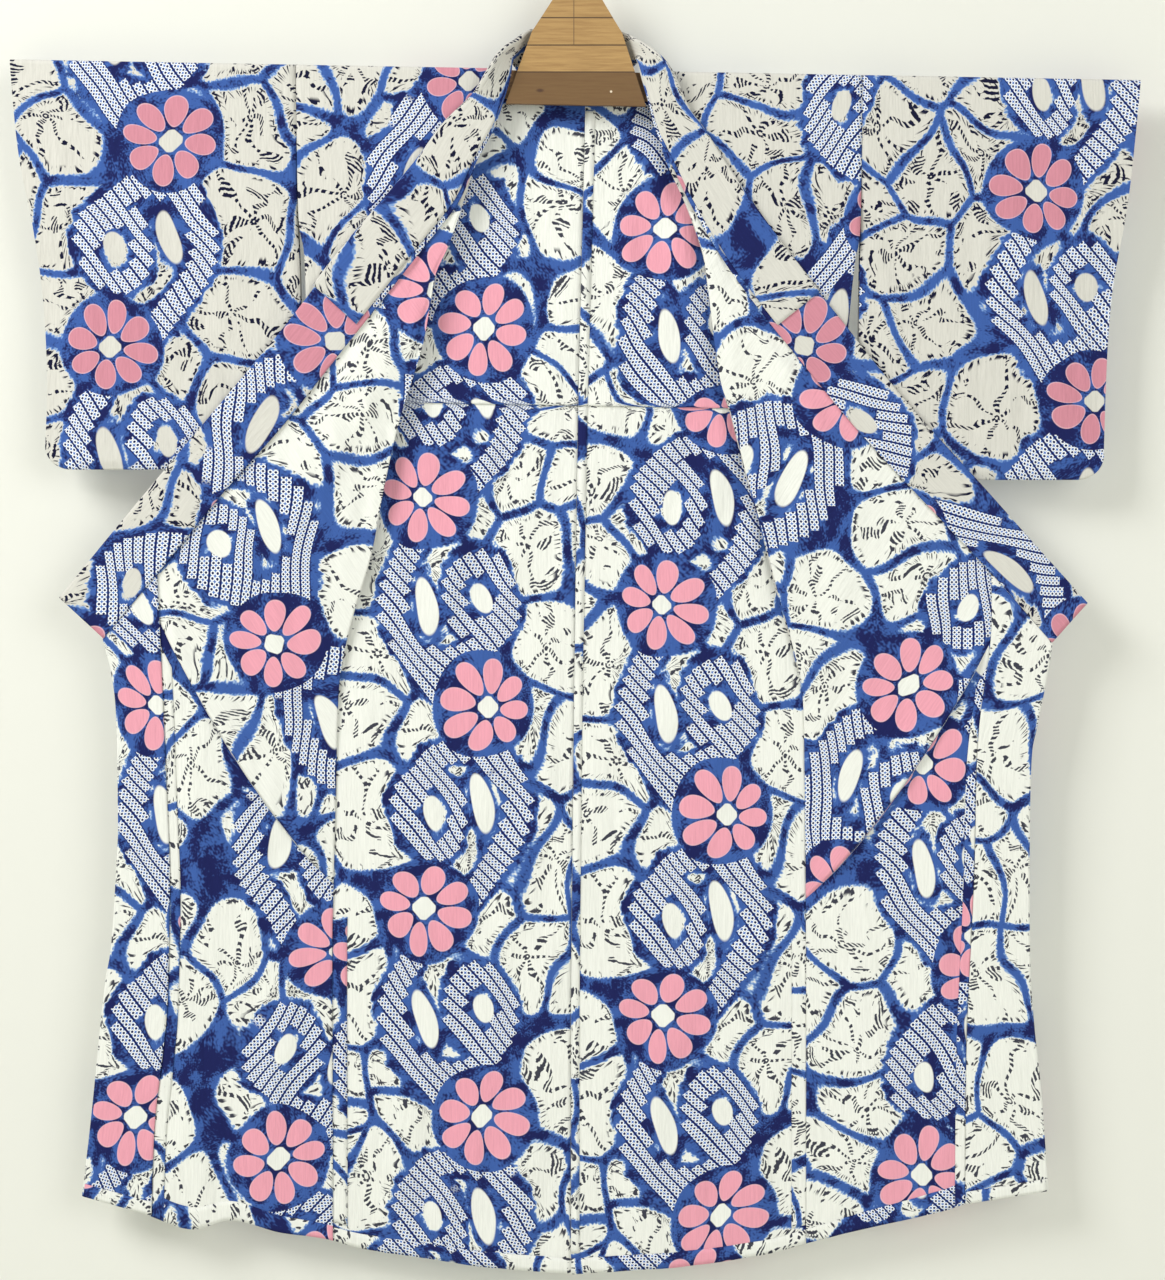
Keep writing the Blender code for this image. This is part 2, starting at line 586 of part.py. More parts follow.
def okumi(name, side, collection):
    """Okumi strip: a front layer, a round turn at the outer edge and the layer behind.

    Each row is a hairpin section carried down between the seam and the outer edge; the
    first row lies along the collar.
    """
    rows, columns = OKUMI_GRID
    pairs = catmull(side["okumi_rows"], np.linspace(0, len(side["okumi_rows"]) - 1, rows))
    inner = np.stack([outer_edge(side, pairs[:, 0]), pairs[:, 0]], axis=-1)
    outer = np.stack([look_up(side["okumi_edge"], pairs[:, 1]), pairs[:, 1]], axis=-1)
    towards_middle = inner - outer
    width = np.linalg.norm(towards_middle, axis=1)
    towards_middle /= width[:, None]
    radius = OKUMI_FOLD_RADIUS
    turn = np.radians(OKUMI_BENDS)
    front = np.linspace(1.0, 0.0, columns)[None, :] * (width + LAP - radius)[:, None] + radius
    behind = np.linspace(0.0, 1.0, columns)[None, :] * (OKUMI_TURNED - radius) + radius
    bend = np.broadcast_to(radius - radius * np.cos(turn), (rows, len(turn)))
    from_edge = np.hstack([front, bend, np.broadcast_to(behind, (rows, columns))])
    back = np.concatenate([np.full(columns, -radius), radius * np.sin(turn), np.full(columns, radius)])
    out = outer[:, :1] + towards_middle[:, :1] * from_edge
    z = outer[:, 1:] + towards_middle[:, 1:] * from_edge
    below_collar = OKUMI_COLLAR_GAP * ease(np.arange(rows), OKUMI_TOP_ROWS, 0.0)[:, None]
    z = z - below_collar * OKUMI_TOP_DOWN
    out = out - below_collar * OKUMI_TOP_ASIDE
    seam = look_up(side["okumi_seam"], z)
    page_width = seam - look_up(side["crease"], z)
    slope = (depth_at(z, 2) - depth_at(z, 3)) / page_width
    y = depth_at(z, 3) + back[None, :] + slope * np.maximum(seam - out, 0.0)
    return add_sheet(name, np.stack([out * side["sign"], y, z], axis=-1), CLOTH, "okumi", collection)


def sleeve(name, side, collection):
    """Sleeve: one closed section, bar side to lower fold and back, carried outwards.

    The section is flat on the bar, narrows to the lower fold, and closes towards the
    sewn lower part of the cuff. The lower outer corner is rounded.
    """
    sign = side["sign"]
    inner_top = look_up(side["sleeve_inner"], 0.0)
    width = look_up(side["sleeve_outer"], 0.0) - inner_top
    top_depth, top_fall = over_bar(np.array(SLEEVE_TOP_LENGTHS))
    turns = np.radians(SLEEVE_FOLD_TURNS)
    columns = []
    for share in np.sin(np.linspace(0.0, math.pi / 2, SLEEVE_COLUMNS)):
        top = float(shoulder_top((inner_top + width * share) * sign))
        from_end = width * (1 - share)
        in_corner = max(SLEEVE_CORNER - from_end, 0.0)
        lift = SLEEVE_CORNER - math.sqrt(SLEEVE_CORNER**2 - in_corner**2)
        bottom = side["sleeve_bottom"] + SLEEVE_CORNER_RISE * lift
        z_side = np.linspace(top - SLEEVE_SIDE_FROM, bottom + SLEEVE_SIDE_ABOVE_FOLD, SLEEVE_ROWS)
        closing = float(ease(from_end, CUFF_CLOSING_WIDTH, 0.0))
        half = look_up(SLEEVE_DEPTH, z_side, 1) * (1 - closing) + look_up(SLEEVE_DEPTH, z_side, 2) * closing
        fold_y = min(SLEEVE_FOLD_RADIUS, half[-1]) * np.cos(turns)
        fold_z = bottom + SLEEVE_FOLD_RADIUS * (1 - np.sin(turns))
        y = np.concatenate([top_depth, half, fold_y])
        z = np.concatenate([top - top_fall, z_side, fold_z])
        loop_y = np.concatenate([[0.0], -y, [0.0], y[::-1]])
        loop_z = np.concatenate([[top], z, [bottom], z[::-1]])
        inner = look_up(side["sleeve_inner"], loop_z) + SEAM_GAP
        outer = look_up(side["sleeve_outer"], loop_z)
        loop_x = (inner + (outer - inner) * share) * sign
        columns.append(np.stack([loop_x, loop_y, loop_z], axis=-1))
    return add_sheet(name, np.array(columns), CLOTH, "sleeve", collection, tube=True)


def band_point(at, across, lift):
    """Points of the collar's surface: across runs from sewn to free edge in shares, and
    lift is a distance out of the surface, towards the viewer on the fronts."""
    seam, free = collar_at(at)
    step = 1e-3
    seam_next, free_next = collar_at(at + step)
    seam_last, free_last = collar_at(at - step)
    middle = seam + (free - seam) * across
    along = (seam_next - seam_last) + ((free_next - free_last) - (seam_next - seam_last)) * across
    normal = np.cross(free - seam, along)
    normal /= np.linalg.norm(normal, axis=1)[:, None]
    return middle + normal * lift


def collar_sections(first, last):
    """Row numbers of the collar's sections, closer together round the neck."""
    spans = zip(COLLAR_ROWS[:-1], COLLAR_ROWS[1:], COLLAR_STEPS)
    at = np.concatenate([np.arange(start, end, step) for start, end, step in spans] + [[COLLAR_ROWS[-1]]])
    return at[(at >= first) & (at <= last)]


def collar(collection):
    """Collar band: straight across from sewn to free edge, carried round the neck."""
    at = collar_sections(COLLAR_ROWS[0], COLLAR_ROWS[-1])
    grid = [band_point(at, share, 0.0) for share in (0.0, *COLLAR_SHARES)]
    return add_sheet("collar", np.stack(grid, axis=1), COLLAR_THICK, "collar", collection)


def over_collar(collection):
    """Over-collar: a folded cover round the collar's free edge, lying on both faces."""
    at = collar_sections(OVER_COLLAR_FROM, OVER_COLLAR_TO)
    seam, free = collar_at(at)
    width = np.linalg.norm(free - seam, axis=1)[:, None]
    offset = OVER_COLLAR_OFFSET
    grid = [band_point(at, share, offset) for share in COLLAR_SHARES]
    for angle in np.radians(OVER_COLLAR_BENDS):
        beyond = offset * math.cos(angle) / width
        grid.append(band_point(at, 1.0 + beyond, offset * math.sin(angle)))
    grid += [band_point(at, share, -offset) for share in reversed(COLLAR_SHARES)]
    return add_sheet("over_collar", np.stack(grid, axis=1), OVER_COLLAR_THICK, "collar", collection)


def hanger_bar(collection):
    """Flat wooden bar inside both sleeves, tilted as the robe hangs."""
    bpy.ops.mesh.primitive_cube_add(size=1.0)
    obj = bpy.context.object
    obj.name = "hanger_bar"
    obj.data.name = "hanger_bar"
    obj.data.transform(Matrix.Diagonal((BAR_LENGTH * MM, BAR_DEPTH * MM, BAR_HEIGHT * MM, 1.0)))
    obj.location = (0.0, 0.0, (BAR_TOP - BAR_HEIGHT / 2 - SHOULDER_DROP) * MM)
    obj.rotation_euler = (0.0, HANGER_TILT, 0.0)
    edge = obj.modifiers.new("worn_edges", "BEVEL")
    edge.width = BAR_EDGE * MM
    edge.segments = 3
    return finish(obj, "wood", collection)


def hanger_board(collection):
    """Tapered board on the bar's front that stands up through the neck."""
    curve = bpy.data.curves.new("hanger_board", "CURVE")
    curve.dimensions = "2D"
    curve.fill_mode = "BOTH"
    curve.extrude = BOARD_THICK / 2 * MM
    outline = [(half, height) for height, half in BOARD]
    outline += [(-half, height) for height, half in reversed(BOARD)]
    spline = curve.splines.new("POLY")
    spline.points.add(len(outline) - 1)
    for point, (x, z) in zip(spline.points, outline):
        point.co = (x * MM, z * MM, 0.0, 1.0)
    spline.use_cyclic_u = True
    obj = bpy.data.objects.new("hanger_board", curve)
    depth = -(BAR_DEPTH / 2 + BOARD_FRONT_GAP + BOARD_THICK / 2)
    obj.location = (BOARD_MIDDLE * MM, depth * MM, -SHOULDER_DROP * MM)
    obj.rotation_euler = (math.pi / 2, HANGER_TILT, 0.0)
    return finish(obj, "wood", collection)


def hanger_hook(collection):
    """Steel wire hook: a short stem from the board's top that turns into the round."""
    centre = SHOULDER_DROP - HOOK_RADIUS + HOOK_WIRE / 2
    depth = -(BAR_DEPTH / 2 + BOARD_FRONT_GAP + BOARD_THICK / 2)
    board_top = BOARD[-1][0] * math.cos(HANGER_TILT)
    top_x = BOARD_MIDDLE + BOARD[-1][0] * math.sin(HANGER_TILT)
    stem = [
        (top_x, depth, board_top + SEAM_GAP),
        (top_x, depth, board_top + STEM_RISE[0]),
        (top_x, depth * STEM_INSET[0], board_top + STEM_RISE[1]),
        (HOOK_RADIUS / 2, depth * STEM_INSET[1], centre - HOOK_RADIUS),
    ]
    angles = np.radians(np.linspace(HOOK_FROM, HOOK_TO, 17))
    round_part = [(HOOK_RADIUS * math.cos(a), 0.0, centre + HOOK_RADIUS * math.sin(a)) for a in angles]
    route = catmull(stem + round_part, np.linspace(0, len(stem) + len(round_part) - 1, 34))
    curve = bpy.data.curves.new("hanger_hook", "CURVE")
    curve.dimensions = "3D"
    curve.bevel_depth = HOOK_WIRE / 2 * MM
    curve.bevel_resolution = 2
    curve.use_fill_caps = True
    spline = curve.splines.new("POLY")
    spline.points.add(len(route) - 1)
    for point, (x, y, z) in zip(spline.points, route):
        point.co = (x * MM, y * MM, (z - SHOULDER_DROP) * MM, 1.0)
    obj = bpy.data.objects.new("hanger_hook", curve)
    return finish(obj, "steel", collection)


def main():
    for obj in list(bpy.data.objects):
        bpy.data.objects.remove(obj, do_unlink=True)
    collection = bpy.data.collections.new("yukata_on_hanger")
    bpy.context.scene.collection.children.link(collection)
    hanger_bar(collection)
    hanger_board(collection)
    hanger_hook(collection)
    for word, side in SIDES.items():
        back_panel("back_" + word, side, collection)
        front_shoulder("front_shoulder_" + word, side, collection)
        opened_front("front_" + word, side, collection)
        okumi("okumi_" + word, side, collection)
        sleeve("sleeve_" + word, side, collection)
    collar(collection)
    over_collar(collection)


main()
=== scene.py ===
"""Looks of a tie-dyed cotton yukata hung on a wooden kimono hanger.

Tables are millimetres from the shoulder line at the hanger's middle: X runs to the
viewer's right, Y away from the viewer and Z up. Column "out" is the distance from the
middle towards the sleeve on that side. Meshes are in metres, with the origin at the
inside top of the hook. Every cloth piece is a fine grid worked out by the same formulas
as its solid, with a second grid of points on the uncut cloth for its dye pattern.
"""

import math
from functools import partial

import bpy
import numpy as np
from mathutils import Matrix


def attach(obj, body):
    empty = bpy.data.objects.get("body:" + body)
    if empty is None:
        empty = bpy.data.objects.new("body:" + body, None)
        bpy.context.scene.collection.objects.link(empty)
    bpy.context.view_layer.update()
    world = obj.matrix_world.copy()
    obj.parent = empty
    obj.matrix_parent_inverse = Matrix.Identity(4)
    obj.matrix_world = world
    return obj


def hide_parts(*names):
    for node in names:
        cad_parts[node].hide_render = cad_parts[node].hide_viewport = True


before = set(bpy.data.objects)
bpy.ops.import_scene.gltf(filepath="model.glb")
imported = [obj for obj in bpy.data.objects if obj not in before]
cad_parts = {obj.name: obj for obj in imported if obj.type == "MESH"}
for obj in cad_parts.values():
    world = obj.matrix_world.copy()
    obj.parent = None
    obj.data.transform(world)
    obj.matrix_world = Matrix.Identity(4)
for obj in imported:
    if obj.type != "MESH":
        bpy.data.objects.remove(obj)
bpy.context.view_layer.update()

MM = 0.001
SHOULDER_DROP = 170

# Cotton crepe, and how the pieces lie on each other
CLOTH = 0.7
COLLAR_THICK = 3
COLLAR_SKIN = 0.2
SEAM_GAP = 0.3
LAP = 2
COLLAR_LIFT = 2.85
OVER_COLLAR_OFFSET = 2.7
OKUMI_FOLD_RADIUS = 1.9
OKUMI_TURNED = 75
STRIP_LIFT = 0.9
STRIP_CLOTH = 0.5

# Hanger
BAR_TOP = -2
BAR_DEPTH = 16
HANGER_TILT = math.radians(1.05)
SOLID_CLOTH = 1.5
WRAP_HALF = BAR_DEPTH / 2 + 0.5 + SOLID_CLOTH / 2
WRAP_RADIUS = 5
WRAP_TOP = BAR_TOP + 0.5 + SOLID_CLOTH / 2
WRAP_CORNER = WRAP_HALF - WRAP_RADIUS + WRAP_RADIUS * math.pi / 2
WRAP_FALL = WRAP_CORNER - WRAP_RADIUS
BACK_Y = WRAP_HALF + 0.2

# Waist tuck: its height, rise and fade, the cloth it takes up, and the rows of its
# rolled edge as length past the edge and share of the rise
TUCK_Z = -388
TUCK_RISE = 2.4
TUCK_FADE = 18
TUCK_TAKES = 42
TUCK_ROLL = [(-5, 0.96), (-2, 1), (-0.4, 0.9), (0, 0.55), (-0.8, 0.15), (2.5, 0), (7, 0)]

NECKLINE_FROM_OUT = 60
NECKLINE_TO_OUT = 93
NECKLINE_DROP = 9
NECKLINE_TAKEN_UP = 150
SETTLE_FROM = 30
SETTLE_TO = 120
HEM_ROWS_FROM_Z = -1100
BACK_LENGTH = 1400
FRONT_SHOULDER_END_Z = -690
SHOULDER_ON_BAR = 42

# Centre back seam: height, x
CENTRE_SEAM = [(10, 14), (-93, 12), (-383, 5), (-731, 0), (-1079, -3.5), (-1420, -3.5)]

# Collar: x, z and y of its sewn edge, then of its free edge. A y of None follows the front.
COLLAR = [
    (-544, -659, None, -595, -612, None),
    (-483, -586, None, -537, -541, None),
    (-403, -488, None, -456, -444, None),
    (-336, -413, None, -391, -367, None),
    (-275, -336, None, -328, -291, None),
    (-220, -267, None, -272, -217, None),
    (-172, -206, None, -222, -158, None),
    (-134, -157, None, -180, -108, None),
    (-113, -110, None, -151, -68, -14.6),
    (-92, -70, -14, -118, -36, -17),
    (-81.5, -40, -14.2, -107, -23, -26),
    (-73.5, -12, -14.2, -97, -7, -31),
    (-71.5, 8, -9.5, -84, 14, -29),
    (-72, 9.5, 1, -67, 30, -14),
    (-68.5, 5, 11, -55, 43, 2),
    (-57, -9, 15.6, -44, 49, 14),
    (-32, -18, 15.6, -25, 51, 16.6),
    (0, -22, 15.6, 0, 52, 17),
    (32, -18, 15.6, 25, 50, 16.6),
    (58, -10, 15.6, 46, 47, 14),
    (68, 4, 11, 59, 41, 2),
    (72, 8, 1, 75, 29, -13),
    (74, 6.5, -9.5, 92, 15, -27),
    (78, -12, -14.2, 106, 0, -28),
    (86.5, -42, -14.2, 117, -18, -24),
    (95, -74, -14, 130, -46, -17),
    (113, -112, None, 151, -76, -14.6),
    (136, -160, None, 180, -121, None),
    (173, -223, None, 222, -182, None),
    (213, -278, None, 264, -237, None),
    (254, -329, None, 306, -288, None),
    (332, -423, None, 383, -384, None),
    (432, -530, None, 478, -489, None),
    (484, -585, None, 528, -545, None),
    (553, -664, None, 594, -618, None),
]
COLLAR_FREE_EDGE_RISE = 0.4
COLLAR_NAPE_ROW = 17
COLLAR_CLOTH = 66
OVER_COLLAR_FROM = 4.5
OVER_COLLAR_TO = 29.5
OVER_COLLAR_REACHES = 0.08
PAGE_TIP_Z = -165

# Edges of each side's panels: height, out. A fold's row is the out and height of its
# start, middle and end, its rise, and its reach towards the middle and away from it. Page
# ends and okumi rows pair the heights of a row's inner and outer end.
LEFT = {
    "sign": -1,
    "crease": [
        (5, 91), (-18, 90), (-42, 89), (-63, 95), (-93, 107), (-151, 126), (-203, 144), (-239, 160),
        (-280, 167), (-329, 177), (-408, 202), (-486, 220), (-563, 235), (-629, 255), (-683, 268),
        (-734, 274), (-850, 277), (-963, 280), (-1046, 281), (-1420, 280),
    ],
    "body_edge": [
        (10, 321.7), (-170, 318.8), (-220, 312), (-300, 309), (-460, 302), (-600, 292), (-734, 283),
        (-963, 283), (-1046, 284), (-1420, 283),
    ],
    "okumi_seam": [
        (-585, 483), (-640, 481), (-847, 473), (-940, 470), (-1079, 473), (-1153, 480), (-1238, 489),
        (-1420, 494),
    ],
    "okumi_edge": [
        (-660, 545), (-731, 531), (-864, 528), (-905, 529), (-1012, 536), (-1056, 543), (-1118, 550),
        (-1216, 560), (-1310, 571),
    ],
    "hem": [
        (0, -1399), (108, -1390), (174, -1380), (246, -1369), (290, -1357), (343, -1349), (397, -1335),
        (445, -1345), (499, -1327), (570, -1304),
    ],
    "sleeve_inner": [(20, 322), (-170, 319), (-272, 316), (-480, 315)],
    "sleeve_outer": [
        (14, 653), (-96, 643), (-186, 626), (-274, 615), (-363, 611), (-438, 613), (-480, 613),
    ],
    "sleeve_bottom": -463,
    "page_ends": [(-165, -168), (-945, -632), (-1357, -1328)],
    "page_folds": [
        (190, -290, 248, -400, 330, -540, 5, 16, 52),
        (150, -215, 196, -330, 232, -450, 2.6, 9, 20),
        (420, -760, 440, -900, 430, -1010, 3.5, 26, 34),
        (330, -1080, 350, -1200, 345, -1330, 4, 30, 38),
        (440, -1150, 446, -1240, 443, -1330, 5, 26, 32),
    ],
    "back_folds": [
        (262, -955, 225, -972, 160, -985, 3.5, 12, 40),
        (190, -1150, 205, -1250, 200, -1375, 4, 30, 42),
        (60, -1180, 66, -1290, 64, -1385, 3.5, 28, 40),
        (120, -420, 140, -560, 200, -720, 3, 26, 50),
    ],
    "okumi_rows": [
        (-586, -660), (-640, -688), (-715, -735), (-790, -800), (-870, -870), (-960, -955),
        (-1055, -1045), (-1150, -1135), (-1240, -1222), (-1328, -1306),
    ],
}
RIGHT = {
    "sign": 1,
    "crease": [
        (5, 92), (-18, 91), (-42, 90), (-63, 95), (-104, 106), (-155, 129), (-209, 148), (-245, 154),
        (-278, 158), (-358, 169), (-396, 181), (-463, 198), (-522, 215), (-600, 235), (-660, 252),
        (-719, 265), (-797, 268), (-1025, 270), (-1420, 270),
    ],
    "body_edge": [
        (10, 333.5), (-170, 331.6), (-220, 325), (-300, 317), (-460, 305), (-600, 290), (-719, 275),
        (-797, 272), (-1025, 273), (-1420, 273),
    ],
    "okumi_seam": [
        (-584, 484), (-661, 484), (-777, 470), (-931, 466), (-1083, 459), (-1155, 457), (-1305, 456),
        (-1420, 456),
    ],
    "okumi_edge": [
        (-665, 554), (-708, 547), (-763, 536), (-800, 530), (-905, 528), (-1038, 529), (-1110, 534),
        (-1155, 539), (-1209, 544), (-1310, 551),
    ],
    "hem": [
        (0, -1399), (74, -1394), (137, -1389), (226, -1375), (276, -1361), (334, -1346), (428, -1324),
        (491, -1303), (551, -1299), (570, -1299),
    ],
    "sleeve_inner": [(20, 334), (-170, 332), (-272, 330), (-490, 328)],
    "sleeve_outer": [
        (0, 657), (-143, 643), (-254, 625), (-343, 618), (-465, 614), (-490, 613),
    ],
    "sleeve_bottom": -475,
    "page_ends": [(-165, -170), (-962, -655), (-1361, -1315)],
    "page_folds": [
        (200, -262, 262, -390, 350, -560, 4.5, 18, 50),
        (152, -205, 170, -270, 196, -330, 2.6, 9, 20),
        (430, -900, 436, -1000, 428, -1120, 3.5, 26, 34),
        (330, -1080, 345, -1200, 350, -1320, 4, 30, 38),
    ],
    "back_folds": [
        (258, -975, 205, -1020, 150, -1057, 4.5, 12, 44),
        (190, -1150, 205, -1250, 205, -1370, 4, 30, 42),
        (90, -1180, 96, -1290, 94, -1385, 3.5, 28, 40),
        (110, -150, 122, -240, 130, -340, 3, 22, 34),
    ],
    "okumi_rows": [
        (-585, -665), (-640, -690), (-715, -738), (-790, -800), (-870, -870), (-960, -955),
        (-1055, -1045), (-1150, -1135), (-1235, -1218), (-1315, -1300),
    ],
}
SIDES = {"left": LEFT, "right": RIGHT}

# Depth of the layers: height, front shoulder at its inner edge, opened front at the
# crease, opened front at its outer edge
DEPTHS = [
    (10, -9.25, -11.3, -11.3),
    (-200, -9.25, -11.3, -11.3),
    (-300, -8.2, -10.3, -11.1),
    (-460, -4, -6.1, -8.6),
    (-585, 1, -1.1, -7.6),
    (-690, 6.4, 4.3, -6.2),
    (-760, 9, 7.3, -5.2),
    (-950, 9, 7.4, -2.6),
    (-1200, 9, 7.4, 0.4),
    (-1420, 9, 7.4, 2),
]

# Front shoulder at the sleeve seam: height, depth. Sleeve: height, half depth, and half
# depth at the cuff, which is sewn up below its opening
SHOULDER_EDGE_DEPTH = [(10, -9.25), (-250, -9.25), (-330, -5), (-420, 5), (-480, 7.4), (-700, 7.4)]
SLEEVE_DEPTH = [
    (20, 9.25, 9.25), (-40, 9.25, 9.25), (-120, 7.6, 7), (-200, 6.8, 5),
    (-245, 6.4, 1), (-400, 5.2, 0.97), (-500, 4.4, 0.97),
]
CUFF_CLOSING_WIDTH = 60
SLEEVE_CORNER = 34
SLEEVE_CORNER_RISE = 0.8
SLEEVE_FOLD_RADIUS = 2.4

# The long diagonal fold of each opened front: how far the cloth above it stands out and
# over what distance, how far its line bows, and how the cloth below tucks behind it
DRAPE_RISE = 5.5
DRAPE_REACH = 46
DRAPE_BOW = 26
DRAPE_TAKES = 65
DRAPE_ROLL = [(0, 1), (-2, 0.8), (-1.5, 0.45), (1.5, 0.15), (3, 0)]
DRAPE_GRAIN = math.radians(33)
SIDE_SEAM_BELOW_FOLD = 45

# Grid of the fine cloth: its spacing, closer rows over the bar, where the even rows start
# below them, and the room they leave for the tuck's own rows. Then its small crinkles
STEP = 6
ROWS_OVER_BAR = np.linspace(0, 22, 15)
EVEN_ROWS_FROM = 28
ROWS_STOP_BEFORE_TUCK = 8
ROWS_START_PAST_TUCK = 12
CRINKLE = 0.9

# Cut of each piece: its place on the dyed cloth, in millimetres across and along it, then
# what shows, in metres: width, length, and flat area where it is no rectangle. Areas are
# those inside the panels' edge tables: the body under the back's tuck has 42 mm more, an
# okumi has its 75 mm turned side, and a sleeve is front and back.
CUTS = {
    "back_left": (286, 60, 0.325, 1.44, 0.421),
    "back_right": (8, 180, 0.335, 1.44, 0.419),
    "front_shoulder_left": (300, 210, 0.235, 0.69, 0.087),
    "front_shoulder_right": (120, 60, 0.245, 0.69, 0.097),
    "front_left": (150, 120, 0.245, 1.19, 0.206),
    "front_right": (330, 380, 0.255, 1.19, 0.204),
    "okumi_left": (60, 250, 0.145, 0.71, 0.097),
    "okumi_right": (250, 20, 0.150, 0.71, 0.102),
    "sleeve_left": (30, 330, 0.33, 0.93, 0.286),
    "sleeve_right": (200, 130, 0.325, 0.95, 0.286),
    "collar": (0, 40, 0.134, 1.84, None),
    "over_collar": (200, 260, 0.13, 0.90, None),
}


def catmull(points, at):
    """Points on a Catmull-Rom curve through the rows, at row numbers with fractions."""
    rows = np.asarray(points, dtype=float)
    first = np.clip(np.floor(at).astype(int), 0, len(rows) - 2)
    f = (at - first)[:, None]
    before = rows[np.maximum(first - 1, 0)]
    start = rows[first]
    end = rows[first + 1]
    after = rows[np.minimum(first + 2, len(rows) - 1)]
    slope_in = (end - before) / 2
    slope_out = (after - start) / 2
    return (
        start * (1 - 3 * f**2 + 2 * f**3)
        + slope_in * (f - 2 * f**2 + f**3)
        + end * (3 * f**2 - 2 * f**3)
        + slope_out * (f**3 - f**2)
    )


def look_up(table, key, column=1):
    """Smooth value of a table's column at a key, whichever way its first column runs."""
    dense = catmull(table, np.linspace(0, len(table) - 1, 40 * len(table)))
    order = np.argsort(dense[:, 0])
    return np.interp(key, dense[order, 0], dense[order, column])


def plain(table, key, column=1):
    """Straight-line value of a table's column at a key."""
    rows = np.asarray(table, dtype=float)
    order = np.argsort(rows[:, 0])
    return np.interp(key, rows[order, 0], rows[order, column])


def ease(value, low, high):
    """Smooth step from 0 at low to 1 at high."""
    f = np.clip((value - low) / (high - low), 0, 1)
    return f * f * (3 - 2 * f)


def shoulder_top(x):
    """Height of the cloth's middle where it crosses the tilted bar."""
    return WRAP_TOP - math.tan(HANGER_TILT) * x


def over_bar(length):
    """Depth and fall of cloth a given length down from the fold on the bar."""
    turn = np.clip((length - (WRAP_HALF - WRAP_RADIUS)) / WRAP_RADIUS, 0, math.pi / 2)
    flat = np.minimum(length, WRAP_HALF - WRAP_RADIUS)
    depth = flat + WRAP_RADIUS * np.sin(turn)
    fall = WRAP_RADIUS * (1 - np.cos(turn)) + np.maximum(length - WRAP_CORNER, 0)
    return depth, fall


def through(start, middle, end, f):
    """Parabola through three values, reached at f of 0, 0.5 and 1."""
    return start * (1 - f) * (1 - 2 * f) + 4 * middle * f * (1 - f) + end * f * (2 * f - 1)


def fold_rise(folds, out, z):
    """How far the folds lift the cloth: a bell across each fold's curve, with its own
    reach on each side, that fades out at both ends."""
    rise = np.zeros_like(out)
    steps = np.linspace(0, 1, 25)
    for x0, z0, x1, z1, x2, z2, height, inner, outer in folds:
        away_x = out[..., None] - through(x0, x1, x2, steps)
        away_z = z[..., None] - through(z0, z1, z2, steps)
        distance = np.hypot(away_x, away_z)
        nearest = distance.argmin(axis=-1)
        gap = distance.min(axis=-1)
        inside = np.take_along_axis(away_x, nearest[..., None], axis=-1)[..., 0] < 0
        reach = np.where(inside, inner, outer)
        along = np.sin(math.pi * (0.08 + 0.84 * steps[nearest]))
        rise += height * np.exp(-((gap / reach) ** 2)) * along
    return rise


def crinkle(x, z, seed):
    """Small uneven rise of hanging crepe: a sum of sine waves, most of them upright."""
    draw = np.random.default_rng(seed)
    total = np.zeros_like(x)
    for wave in range(14):
        across = draw.uniform(22, 90)
        along = draw.uniform(90, 400)
        phase = draw.uniform(0, 2 * math.pi)
        lean = draw.choice([-1, 1])
        total += np.sin(2 * math.pi * (x / across + lean * z / along) + phase) * (across / 90)
    return total * CRINKLE / 2


def collar_rows():
    """The collar table with each None replaced by the depth of the front it lies on."""
    rows = []
    for seam_x, seam_z, seam_y, free_x, free_z, free_y in COLLAR:
        front = float(look_up(DEPTHS, seam_z, 3)) - COLLAR_LIFT
        rows.append((
            seam_x,
            front if seam_y is None else seam_y,
            seam_z,
            free_x,
            front - COLLAR_FREE_EDGE_RISE if free_y is None else free_y,
            free_z,
        ))
    return np.array(rows)


def collar_at(at):
    """Sewn edge and free edge of the collar at row numbers with fractions."""
    rows = catmull(collar_rows(), at)
    return rows[:, :3], rows[:, 3:]


def outer_edge(side, z):
    """Outer edge of the opened front: along the collar, then down the okumi seam."""
    end = 0 if side["sign"] < 0 else len(COLLAR) - 1
    seam = catmull(collar_rows(), np.linspace(end, COLLAR_NAPE_ROW, 400))[:, :3]
    seam = seam[seam[:, 2] < PAGE_TIP_Z + 20]
    order = np.argsort(seam[:, 2])
    along_collar = np.interp(z, seam[order, 2], np.abs(seam[order, 0]))
    return np.where(z > side["okumi_seam"][0][0], along_collar, look_up(side["okumi_seam"], z))


def in_scene(name, data):
    """New object with the given data, in the scene."""
    obj = bpy.data.objects.new(name, data)
    bpy.context.scene.collection.objects.link(obj)
    return obj


